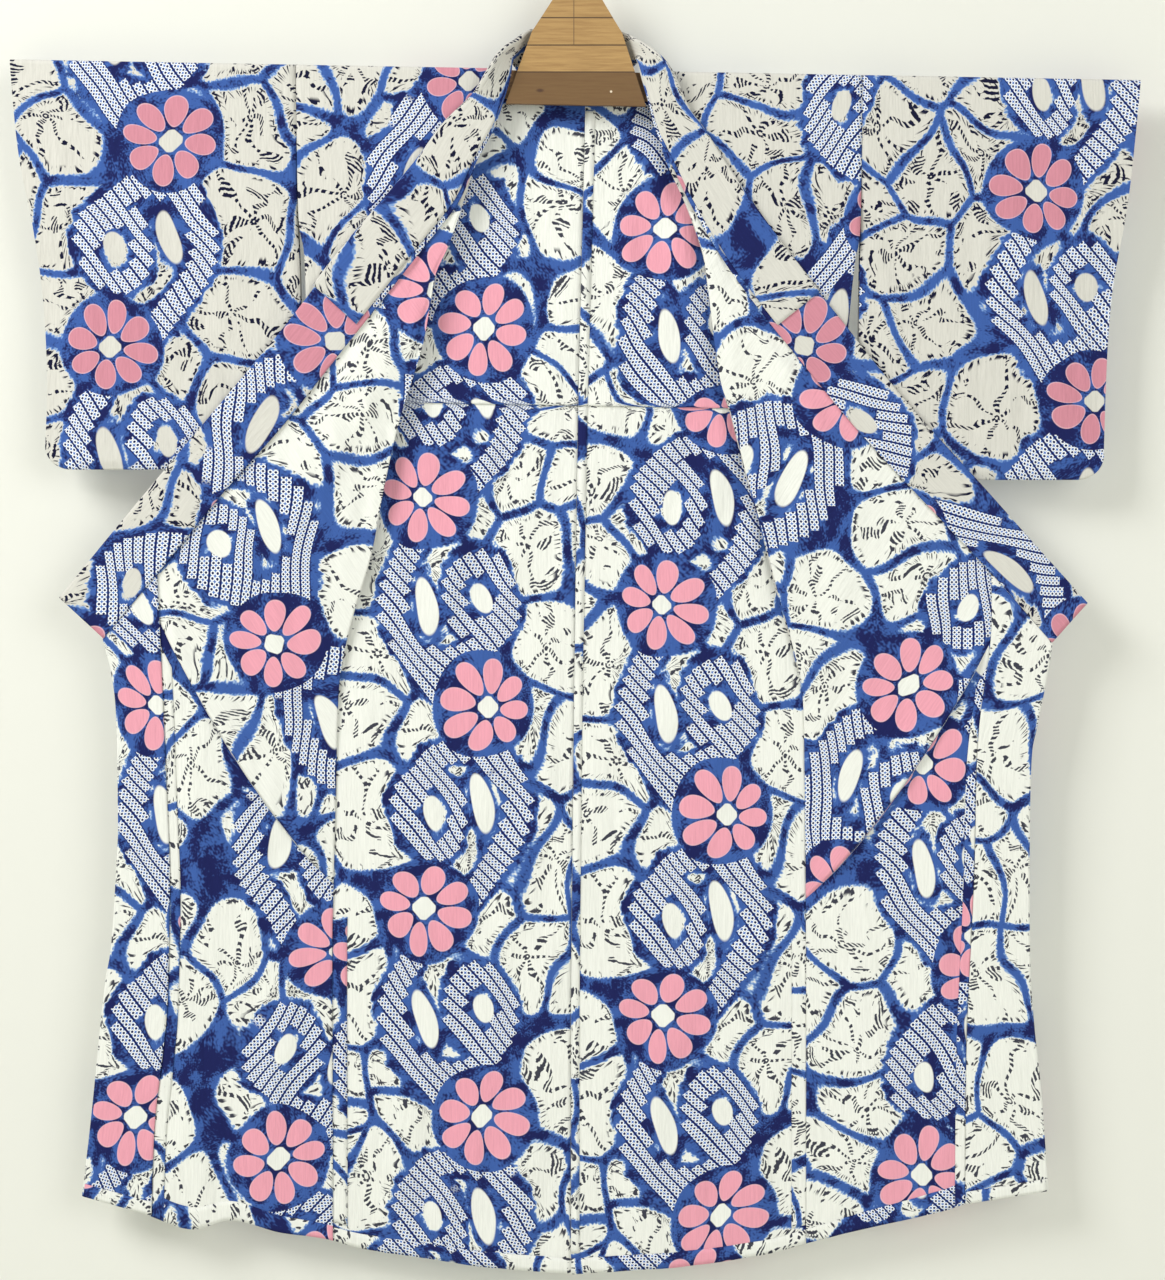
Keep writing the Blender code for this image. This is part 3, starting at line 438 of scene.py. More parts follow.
def cloth_piece(name, grid, cloth, material, thickness=CLOTH, tube=False, node=None):
    """One piece of cloth: a grid of points with each one's place on the uncut cloth.

    The grid is thickened about its middle. A tube joins its last column to its first.
    A piece that stands for a solid hides that solid.
    """
    rows, columns = grid.shape[:2]
    points = grid.reshape(-1, 3) * MM
    points[:, 2] -= SHOULDER_DROP * MM
    number = np.arange(rows * columns).reshape(rows, columns)
    place = np.dstack([cloth[0], cloth[1]]) * MM
    if tube:
        number = np.hstack([number, number[:, :1]])
        place = np.concatenate([place, place[:, -1:] + (place[:, -1:] - place[:, -2:-1])], axis=1)
    corner = [number[:-1, :-1], number[1:, :-1], number[1:, 1:], number[:-1, 1:]]
    quads = np.stack(corner, axis=-1).reshape(-1, 4)
    corner = [place[:-1, :-1], place[1:, :-1], place[1:, 1:], place[:-1, 1:]]
    mesh = bpy.data.meshes.new(name)
    mesh.from_pydata(points.tolist(), [], quads.tolist())
    layer = mesh.uv_layers.new(name="cloth")
    layer.data.foreach_set("uv", np.stack(corner, axis=2).astype(np.float32).ravel())
    mesh.shade_smooth()
    mesh.materials.append(material)
    piece = in_scene(name, mesh)
    wall = piece.modifiers.new("cloth", "SOLIDIFY")
    wall.thickness = thickness * MM
    wall.offset = 0
    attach(piece, "root")
    if node:
        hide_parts(node)
    return piece


def strip(name, grid, rows, columns, cloth, shift, material):
    """Turned edge pressed flat on a panel: a patch of its grid, moved out towards the
    viewer, whose dye pattern comes from further along the uncut cloth."""
    patch = grid[rows, columns].copy()
    patch[..., 1] -= STRIP_LIFT
    place = (cloth[0][rows, columns] + shift[0], cloth[1][rows, columns] + shift[1])
    return cloth_piece(name, patch, place, material, thickness=STRIP_CLOTH)


def on_cloth(name, across, along):
    """Place on the uncut cloth of points measured across and along it."""
    from_across, from_along = CUTS[name][:2]
    return np.broadcast_arrays(from_across + across, from_along + along)


def back_surface(side, length, share, roll):
    """Half the back: rows by length of cloth from the fold on the bar, columns by share
    from the centre seam to the side. roll is the share of the tuck's rise at each row.
    """
    sign = side["sign"]
    rough_z = WRAP_TOP - np.maximum(length - WRAP_FALL, 0)
    seam_x = plain(CENTRE_SEAM, rough_z) * sign + SEAM_GAP / 2
    edge = look_up(side["body_edge"], rough_z)
    out = seam_x + (edge - seam_x) * share
    start = (1 - ease(out, NECKLINE_FROM_OUT, NECKLINE_TO_OUT)) * (WRAP_CORNER + NECKLINE_DROP)
    length = length + start * np.clip(1 - length / NECKLINE_TAKEN_UP, 0, 1)
    depth, fall = over_bar(length + SEAM_GAP / 2)
    z = shoulder_top(out * sign) - fall
    hem = look_up(side["hem"], np.maximum(out, 0))
    lowest = z[-1:]
    stretch = (hem - HEM_ROWS_FROM_Z) / (lowest - HEM_ROWS_FROM_Z)
    z = np.where(z < HEM_ROWS_FROM_Z, HEM_ROWS_FROM_Z + (z - HEM_ROWS_FROM_Z) * stretch, z)
    folds = fold_rise(side["back_folds"], out, z)
    folds = folds * ease(share, 0, 0.25) * ease(1 - share, 0, 0.25)
    settle = ease(-z, SETTLE_FROM, SETTLE_TO) * (BACK_Y - WRAP_HALF)
    wave = crinkle(out * sign, z, 3) * ease(-z, SETTLE_FROM, SETTLE_TO) * ease(1 - share, 0, 0.06)
    y = depth + settle - TUCK_RISE * roll * ease(1 - share, 0, 0.2) - folds + wave
    return np.stack([out * sign, y, z], axis=-1)


def cloth_taken(above, rolled, below):
    """Share of a fold's hidden cloth that each row has passed: none, rising, all."""
    rise = np.linspace(0, 1, len(rolled))
    return np.concatenate([np.zeros(len(above)), rise, np.ones(len(below))])


def back_panel(name, side, material):
    """Half the back in one piece, with the waist tuck's rolled edge across it."""
    to_tuck = WRAP_FALL + WRAP_TOP - TUCK_Z
    above = np.arange(EVEN_ROWS_FROM, to_tuck - ROWS_STOP_BEFORE_TUCK, STEP)
    above = np.concatenate([ROWS_OVER_BAR, above])
    below = np.linspace(to_tuck + ROWS_START_PAST_TUCK, BACK_LENGTH, 165)
    tucked = to_tuck + np.array([row[0] for row in TUCK_ROLL])
    lengths = np.concatenate([above, tucked, below])
    edge = [row[1] for row in TUCK_ROLL]
    roll = np.concatenate([np.exp(-(to_tuck - above) / TUCK_FADE), edge, np.zeros(len(below))])
    passed = cloth_taken(above, tucked, below)
    shares = np.linspace(0, 1, 57)
    length, share = np.meshgrid(lengths, shares, indexing="ij")
    grid = back_surface(side, length, share, roll[:, None])
    cloth = on_cloth(name, grid[..., 0], -length - TUCK_TAKES * passed[:, None])
    low = np.searchsorted(lengths, SIDE_SEAM_BELOW_FOLD - side["page_ends"][1][0])
    strips = [
        strip(name + "_hem", grid, np.s_[-4:], np.s_[:], cloth, (30, 90), material),
        strip(name + "_side_seam", grid, np.s_[low:-4], np.s_[-5:], cloth, (55, 60), material),
    ]
    if side["sign"] > 0:
        seam = strip("back_centre_seam", grid, np.s_[16:-4], np.s_[:3], cloth, (-22, 8), material)
        strips.append(seam)
    cloth_piece(name + "_cloth", grid, cloth, material, node=name)


def front_shoulder(name, side, material):
    """Stretch of the front that keeps its right side out: sleeve seam to crease."""
    end = WRAP_FALL - FRONT_SHOULDER_END_Z
    lengths = np.concatenate([ROWS_OVER_BAR, np.arange(EVEN_ROWS_FROM, end, STEP), [end]])
    length, share = np.meshgrid(lengths, np.linspace(0, 1, 40), indexing="ij")
    sign = side["sign"]
    depth, fall = over_bar(length + SEAM_GAP / 2)
    rough_z = WRAP_TOP - fall
    edge = look_up(side["body_edge"], rough_z)
    crease = look_up(side["crease"], rough_z)
    out = edge + (crease - edge) * share
    z = shoulder_top(out * sign) - fall
    level = look_up(SHOULDER_EDGE_DEPTH, z) * (1 - share) + look_up(DEPTHS, z, 1) * share
    wave = crinkle(out * sign, z, 5) * ease(length, SHOULDER_ON_BAR, 120) * ease(1 - share, 0, 0.15)
    y = np.where(length < SHOULDER_ON_BAR, -depth, level) + wave * 0.6
    grid = np.stack([out * sign, y, z], axis=-1)
    cloth = on_cloth(name, grid[..., 0], length)
    cloth_piece(name + "_cloth", grid, cloth, material, node=name)


def page_window(across):
    """Share of its rise that an opened front's fold keeps towards both edges."""
    return ease(across, 0.02, 0.2) * ease(1 - across, 0.02, 0.12)


def page_surface(side, part, across, behind):
    """Opened front, inside out. part runs from 0 at its tip over 1 at the long diagonal
    fold to 2 at the hem, and across from the crease to the outer edge. behind is the
    share of the fold's rise at each row, and None lets it fade out above the fold.
    """
    inner_ends, outer_ends = np.transpose(side["page_ends"])
    inner_z, outer_z = [np.interp(part, [0, 1, 2], ends) for ends in (inner_ends, outer_ends)]
    inner = look_up(side["crease"], inner_z)
    outer = outer_edge(side, outer_z) + LAP
    out = inner + (outer - inner) * across
    bow = DRAPE_BOW * 4 * across * (1 - across) * np.exp(-(((part - 1) / 0.4) ** 2))
    z = inner_z + (outer_z - inner_z) * across - bow
    near_hem = ease(part, 1.7, 2)
    z = z + (look_up(side["hem"], out) - z[-1:]) * near_hem
    y = look_up(DEPTHS, z, 2) * (1 - across) + look_up(DEPTHS, z, 3) * across
    window = page_window(across)
    above = np.abs(part - 1) * (inner_ends[0] - inner_ends[1]) * 0.6
    drape = np.exp(-((above / DRAPE_REACH) ** 2)) if behind is None else behind
    folds = fold_rise(side["page_folds"], out, z) * ease(across, 0.05, 0.2) * ease(1 - across, 0.05, 0.2)
    wave = crinkle(out, z, 7) * window
    y = y - DRAPE_RISE * drape * window - folds + wave
    return np.stack([out * side["sign"], y, z], axis=-1)


def opened_front(name, side, material):
    """Opened front with its long fold: the cloth below it starts behind its rolled edge."""
    across = np.linspace(0, 1, 61)[None, :]
    above = np.linspace(0, 1, 120)[:-1]
    below = 1 + np.linspace(0, 1, 100)[1:]
    grid_above = page_surface(side, np.append(above, 1)[:, None], across, None)[:-1]
    edge_row = page_surface(side, np.array([[0.98], [1]]), across, 0)[-1]
    window = page_window(across)[0]
    rolled = []
    for drop, rise in DRAPE_ROLL:
        row = edge_row.copy()
        row[:, 1] -= DRAPE_RISE * rise * window
        row[:, 2] -= drop * window
        rolled.append(row)
    grid_below = page_surface(side, np.insert(below, 0, 1)[:, None], across, 0)[1:]
    grid = np.concatenate([grid_above, np.array(rolled), grid_below])
    passed = cloth_taken(above, rolled, below)
    out = grid[..., 0] * side["sign"]
    turned = DRAPE_GRAIN * (1 - passed)[:, None]
    u = out * np.cos(turned) - grid[..., 2] * np.sin(turned)
    v = out * np.sin(turned) + grid[..., 2] * np.cos(turned) - DRAPE_TAKES * passed[:, None]
    cloth = on_cloth(name, u, v)
    low = len(above) + 8
    strips = [
        strip(name + "_hem", grid, np.s_[-5:], np.s_[:-5], cloth, (70, 120), material),
        strip(name + "_okumi_seam", grid, np.s_[low:], np.s_[-6:-1], cloth, (-60, 200), material),
    ]
    cloth_piece(name + "_cloth", grid, cloth, material, node=name)


def okumi(name, side, material):
    """Okumi strip: a front layer, a round turn at the outer edge and the layer behind."""
    rows = 110
    columns = 22
    pairs = catmull(side["okumi_rows"], np.linspace(0, len(side["okumi_rows"]) - 1, rows))
    inner = np.stack([outer_edge(side, pairs[:, 0]), pairs[:, 0]], axis=-1)
    outer = np.stack([look_up(side["okumi_edge"], pairs[:, 1]), pairs[:, 1]], axis=-1)
    towards_middle = inner - outer
    width = np.linalg.norm(towards_middle, axis=1)
    towards_middle /= width[:, None]
    radius = OKUMI_FOLD_RADIUS
    turn = np.radians(np.linspace(-75, 75, 7))
    front = np.linspace(1, 0, columns)[None, :] * (width + LAP - radius)[:, None] + radius
    behind = np.linspace(0, 1, columns)[None, :] * (OKUMI_TURNED - radius) + radius
    bend = np.broadcast_to(radius - radius * np.cos(turn), (rows, len(turn)))
    from_edge = np.hstack([front, bend, np.broadcast_to(behind, (rows, columns))])
    back = np.concatenate([np.full(columns, -radius), radius * np.sin(turn), np.full(columns, radius)])
    out = outer[:, :1] + towards_middle[:, :1] * from_edge
    z = outer[:, 1:] + towards_middle[:, 1:] * from_edge
    seam = look_up(side["okumi_seam"], z)
    page_width = seam - look_up(side["crease"], z)
    slope = (look_up(DEPTHS, z, 2) - look_up(DEPTHS, z, 3)) / page_width
    y = look_up(DEPTHS, z, 3) + back[None, :] + slope * np.maximum(seam - out, 0)
    grid = np.stack([out * side["sign"], y, z], axis=-1)
    behind_edge = np.where(np.arange(from_edge.shape[1]) < columns, from_edge, -from_edge)
    cloth = on_cloth(name, behind_edge, z)
    hem = strip(name + "_hem", grid, np.s_[-4:], np.s_[:columns], cloth, (90, 60), material)
    cloth_piece(name + "_cloth", grid, cloth, material, node=name)


def sleeve(name, side, material):
    """Sleeve: one closed section, from the bar to the lower fold and back, carried
    outwards. It closes towards the sewn lower part of the cuff."""
    sign = side["sign"]
    inner_top = look_up(side["sleeve_inner"], 0)
    width = look_up(side["sleeve_outer"], 0) - inner_top
    top_lengths = np.linspace(1, 16, 11)
    top_depth, top_fall = over_bar(top_lengths)
    turns = np.radians(np.linspace(0, 75, 6))
    columns = []
    places = []
    for share in np.sin(np.linspace(0, math.pi / 2, 64)):
        top = float(shoulder_top((inner_top + width * share) * sign))
        from_end = width * (1 - share)
        in_corner = max(SLEEVE_CORNER - from_end, 0)
        lift = SLEEVE_CORNER - math.sqrt(SLEEVE_CORNER**2 - in_corner**2)
        bottom = side["sleeve_bottom"] + SLEEVE_CORNER_RISE * lift
        z_side = np.linspace(top - 22, bottom + 6, 74)
        closing = float(ease(from_end, CUFF_CLOSING_WIDTH, 0))
        half = look_up(SLEEVE_DEPTH, z_side, 1) * (1 - closing) + look_up(SLEEVE_DEPTH, z_side, 2) * closing
        fold_y = min(SLEEVE_FOLD_RADIUS, half[-1]) * np.cos(turns)
        fold_z = bottom + SLEEVE_FOLD_RADIUS * (1 - np.sin(turns))
        out = (inner_top + width * share) * sign
        wave = crinkle(np.full_like(z_side, out), z_side, 11)
        wave = wave * ease(top - z_side, 30, 130) * ease(from_end, 0, 60)
        wave = wave * ease(z_side, bottom, bottom + 60)
        y = np.concatenate([top_depth, half, fold_y])
        ripple = np.concatenate([np.zeros_like(top_depth), wave, np.zeros_like(fold_y)])
        z = np.concatenate([top - top_fall, z_side, fold_z])
        loop_y = np.concatenate([[0], -y + ripple, [0], (y + ripple)[::-1]])
        loop_z = np.concatenate([[top], z, [bottom], z[::-1]])
        inner = look_up(side["sleeve_inner"], loop_z) + SEAM_GAP
        outer = look_up(side["sleeve_outer"], loop_z)
        loop_x = (inner + (outer - inner) * share) * sign
        columns.append(np.stack([loop_x, loop_y, loop_z], axis=-1))
        along = np.hypot(np.diff(loop_z), np.diff(loop_y))
        places.append(-np.concatenate([[0], np.cumsum(along)]))
    grid = np.array(columns)
    cloth = on_cloth(name, grid[..., 0], np.array(places))
    cloth_piece(name + "_cloth", grid, cloth, material, tube=True, node=name)


def band_point(at, across, lift):
    """Points of the collar's surface: across in shares from the sewn to the free edge,
    and lift out of the surface, towards the viewer on the fronts."""
    seam, free = collar_at(at)
    nearby = 1e-3
    seam_next, free_next = collar_at(at + nearby)
    seam_last, free_last = collar_at(at - nearby)
    middle = seam + (free - seam) * across
    along = (seam_next - seam_last) + ((free_next - free_last) - (seam_next - seam_last)) * across
    normal = np.cross(free - seam, along)
    normal /= np.linalg.norm(normal, axis=1)[:, None]
    return middle + normal * lift


def along_band(at):
    """Length along the collar's middle at each of its sections."""
    middle = band_point(at, 0.5, 0)
    steps = np.linalg.norm(np.diff(middle, axis=0), axis=1)
    return np.concatenate([[0], np.cumsum(steps)])


def collar(material):
    """Collar band: a flat pillow section round the band, closed at both ends."""
    at = np.linspace(0, len(COLLAR) - 1, 420)
    half = COLLAR_THICK / 2
    shares = np.concatenate([[0, 0.015, 0.04], np.linspace(0.1, 0.9, 12), [0.96, 0.985, 1]])
    crown = half * np.minimum(1, np.sqrt(1 - (np.abs(2 * shares - 1)) ** 24) + 0.05)
    front = [band_point(at, share, lift) for share, lift in zip(shares, crown)]
    rear = [band_point(at, share, -lift) for share, lift in zip(shares[::-1], crown[::-1])]
    grid = np.stack(front + rear, axis=1)
    middle = grid.mean(axis=1, keepdims=True)
    closed = middle + (grid - middle) * 1e-3
    grid = np.concatenate([closed[:1], grid, closed[-1:]])
    across = np.concatenate([shares, 2 - shares[::-1]]) * COLLAR_CLOTH
    length = along_band(at)
    length = np.concatenate([length[:1], length, length[-1:]])
    cloth = on_cloth("collar", across, length[:, None])
    cloth_piece("collar_cloth", grid, cloth, material, COLLAR_SKIN, tube=True, node="collar")


def over_collar(material):
    """Over-collar: a folded cover round the collar's free edge, lying on both faces."""
    at = np.linspace(OVER_COLLAR_FROM, OVER_COLLAR_TO, 300)
    seam, free = collar_at(at)
    width = np.linalg.norm(free - seam, axis=1)[:, None]
    shares = np.linspace(OVER_COLLAR_REACHES, 1, 14)
    offset = OVER_COLLAR_OFFSET
    grid = [band_point(at, share, offset) for share in shares]
    for angle in np.radians(np.linspace(65, -65, 7)):
        beyond = offset * math.cos(angle) / width
        grid.append(band_point(at, 1 + beyond, offset * math.sin(angle)))
    grid += [band_point(at, share, -offset) for share in shares[::-1]]
    grid = np.stack(grid, axis=1)
    across = np.linspace(0, 2 * COLLAR_CLOTH, grid.shape[1])
    cloth = on_cloth("over_collar", across, along_band(at)[:, None])
    cloth_piece("over_collar_cloth", grid, cloth, material, node="over_collar")


def linear(hex_colour):
    """sRGB hex colour as linear red, green, blue and alpha."""
    parts = [int(hex_colour[i : i + 2], 16) / 255 for i in (1, 3, 5)]
    return (*[p / 12.92 if p <= 0.04045 else ((p + 0.055) / 1.055) ** 2.4 for p in parts], 1)


def add_node(tree, kind, *feeds, out=0, **settings):
    """Add one node and return one of its outputs. kind is the node's name, with its
    operation after a space, or a Math node's operation alone. Settings are its
    properties. Feeds are links, values or hex colours for its inputs in order, and a
    dictionary gives them by number or name."""
    if kind.isupper():
        kind = "Math " + kind
    kind, *operation = kind.split()
    node = tree.nodes.new("ShaderNode" + kind)
    if operation:
        node.operation = operation[0]
    for key, value in settings.items():
        setattr(node, key, value)
    numbered = feeds[0] if feeds and isinstance(feeds[0], dict) else dict(enumerate(feeds))
    for index, feed in numbered.items():
        if isinstance(feed, bpy.types.NodeSocket):
            tree.links.new(feed, node.inputs[index])
        elif feed is not None:
            node.inputs[index].default_value = linear(feed) if isinstance(feed, str) else feed
    return node.outputs[out] if node.outputs else None


def new_material(name):
    """Material with an empty node tree, and put, which adds a node to it."""
    material = bpy.data.materials.new(name)
    material.use_nodes = True
    material.node_tree.nodes.clear()
    return material, partial(add_node, material.node_tree)


# The motifs repeat over this width and length of cloth, in a layout of their own: two
# flowers, two curls and one vine that swings between the flowers
REPEAT = (310, 480)
FLOWERS = [(121, 0), (189, 240)]
CURLS = [(125, 116), (185, 364)]
PETALS = 8
PETALS_TURN = math.radians(10)
PETAL_MIDDLE = 34.5
PETAL_RADII = (19.2, 12.7)
HEART_RADIUS = 12.6
HEART_FLAT = 11
FLOWER_GROUND = 61
CURL_TURN = math.radians(-14)
CURL_RADII = (42, 56)
CURL_EYE = (1, -3)
VINE_MIDDLE = 155
VINE_SWING = 72
VINE_HALF = 14.5
PEBBLE = 98
PEBBLE_BORDER = 4.6
PEBBLE_REACH = 66
KANOKO_TURN = math.radians(-38)
# Tied dots are about 4.2 mm apart and stitches finer still, all drawn coarser to show
KANOKO_BAR = 12
DOT = 5
BRANCHES = 6
BEAD = 5


def ellipse(put, point, centre, radii):
    """Distance outside an ellipse, near enough: (length(offset / radii) - 1) x the
    smaller radius."""
    offset = put("VectorMath SUBTRACT", point, (*centre, 0))
    scaled = put("VectorMath MULTIPLY", offset, (1 / radii[0], 1 / radii[1], 0))
    length = put("VectorMath LENGTH", scaled, out=1)
    return put("MULTIPLY_ADD", length, min(radii), -min(radii))


def nearest_repeat(put, point, centres):
    """Offset from the nearer of two centres, which repeat with the pattern. The second
    is turned half round, as the vine is."""
    half = (REPEAT[0] / 2, REPEAT[1] / 2, 1)
    low = (-half[0], -half[1], -1)
    first = put("VectorMath SUBTRACT", point, (*centres[0], 0))
    last = put("VectorMath SUBTRACT", (*centres[1], 0), point)
    offsets = [put("VectorMath WRAP", away, half, low) for away in (first, last)]
    lengths = [put("VectorMath LENGTH", away, out=1) for away in offsets]
    second = put("LESS_THAN", lengths[1], lengths[0])
    return put("Mix", {0: second, 4: offsets[0], 5: offsets[1]}, data_type="VECTOR", out=1)


def step(put, value, low, high):
    """Smooth step of a value from 0 at low to 1 at high."""
    return put("MapRange", value, low, high, 0, 1, interpolation_type="SMOOTHSTEP")


def noise(put, point, *looks, out=0):
    """Flat noise. Its scale comes first in looks, then its detail and its roughness."""
    return put("TexNoise", point, None, *looks, noise_dimensions="2D", out=out)


def paint(put, share, under, over):
    """One colour laid over another by a share."""
    return put("Mix", {0: share, 6: under, 7: over}, data_type="RGBA", out=2)


def layered(put, colour, layers):
    """Colours laid over a first one in turn. A layer's row is a distance, the distances
    at which the layer starts and is full, and its colour."""
    for distance, start, full, over in layers:
        colour = paint(put, step(put, distance, start, full), colour, over)
    return colour


def petals(put, offset):
    """Distance outside the nearest of eight egg-shaped petals round a flower's middle."""
    x, y = [put("SeparateXYZ", offset, out=i) for i in (0, 1)]
    radius = put("VectorMath LENGTH", offset, out=1)
    angle = put("ARCTAN2", y, x)
    angle = put("ADD", angle, PETALS_TURN)
    folded = put("WRAP", angle, math.pi / PETALS, -math.pi / PETALS)
    along = put("MULTIPLY", radius, put("COSINE", folded))
    aside = put("MULTIPLY", radius, put("SINE", folded))
    widen = put("MULTIPLY_ADD", along, 0.011, 0.57)
    aside = put("DIVIDE", aside, widen)
    egg = put("CombineXYZ", along, aside, 0)
    return ellipse(put, egg, (PETAL_MIDDLE, 0), PETAL_RADII), radius


def rounded_diamond(put, offset, radius, flat):
    """Distance outside a circle cut by four slanting sides, flat from its middle."""
    corner = put("VectorMath ABSOLUTE", offset)
    slant = put("VectorMath DOT_PRODUCT", corner, (math.sqrt(0.5), math.sqrt(0.5), 0), out=1)
    slant = put("ADD", slant, -flat)
    return put("MAXIMUM", ellipse(put, offset, (0, 0), (radius, radius)), slant)


def least(put, *distances):
    """Least of several distances."""
    nearest = distances[0]
    for distance in distances[1:]:
        nearest = put("MINIMUM", nearest, distance)
    return nearest


def without(put, distance, *holes):
    """Distance outside a shape with holes cut from it."""
    for hole in holes:
        distance = put("MAXIMUM", distance, put("MULTIPLY", hole, -1))
    return distance


def ribbons(put, point):
    """Distance outside the kanoko ribbons: a vine that swings along the cloth, and at
    each bend a curl, which is a ring with an arm that reaches over to the vine.

    Also gives the distances outside the curl's plain oval and the drop beside it.
    """
    x, y = [put("SeparateXYZ", point, out=i) for i in (0, 1)]
    turns = 2 * math.pi / REPEAT[1]
    phase = put("MULTIPLY_ADD", y, turns, -turns * REPEAT[1] / 4)
    swing = put("COSINE", phase)
    aside = put("MULTIPLY_ADD", swing, -VINE_SWING, x)
    aside = put("WRAP", aside, VINE_MIDDLE + REPEAT[0] / 2, VINE_MIDDLE - REPEAT[0] / 2)
    aside = put("ADD", aside, -VINE_MIDDLE)
    lean = put("MULTIPLY", put("SINE", phase), VINE_SWING * turns)
    upright = put("INVERSE_SQRT", put("MULTIPLY_ADD", lean, lean, 1))
    vine = put("MULTIPLY_ADD", put("ABSOLUTE", aside), upright, -VINE_HALF)

    curl = nearest_repeat(put, point, CURLS)
    curl = put("VectorRotate", {0: curl, 3: CURL_TURN}, rotation_type="Z_AXIS")
    ring = ellipse(put, curl, (0, 0), CURL_RADII)
    ring = without(put, ring, ellipse(put, curl, CURL_EYE, (19, 28)))
    arm = ellipse(put, curl, (40, 2), (72, 74))
    lower_half = put("SUBTRACT", put("SeparateXYZ", curl, out=1), 6)
    arm = without(put, arm, ellipse(put, curl, (42, 0), (46, 50)), lower_half)
    oval = ellipse(put, curl, CURL_EYE, (11.5, 18.5))
    drop = ellipse(put, curl, (64, -6), (12.5, 33))
    return least(put, vine, ring, arm), oval, drop


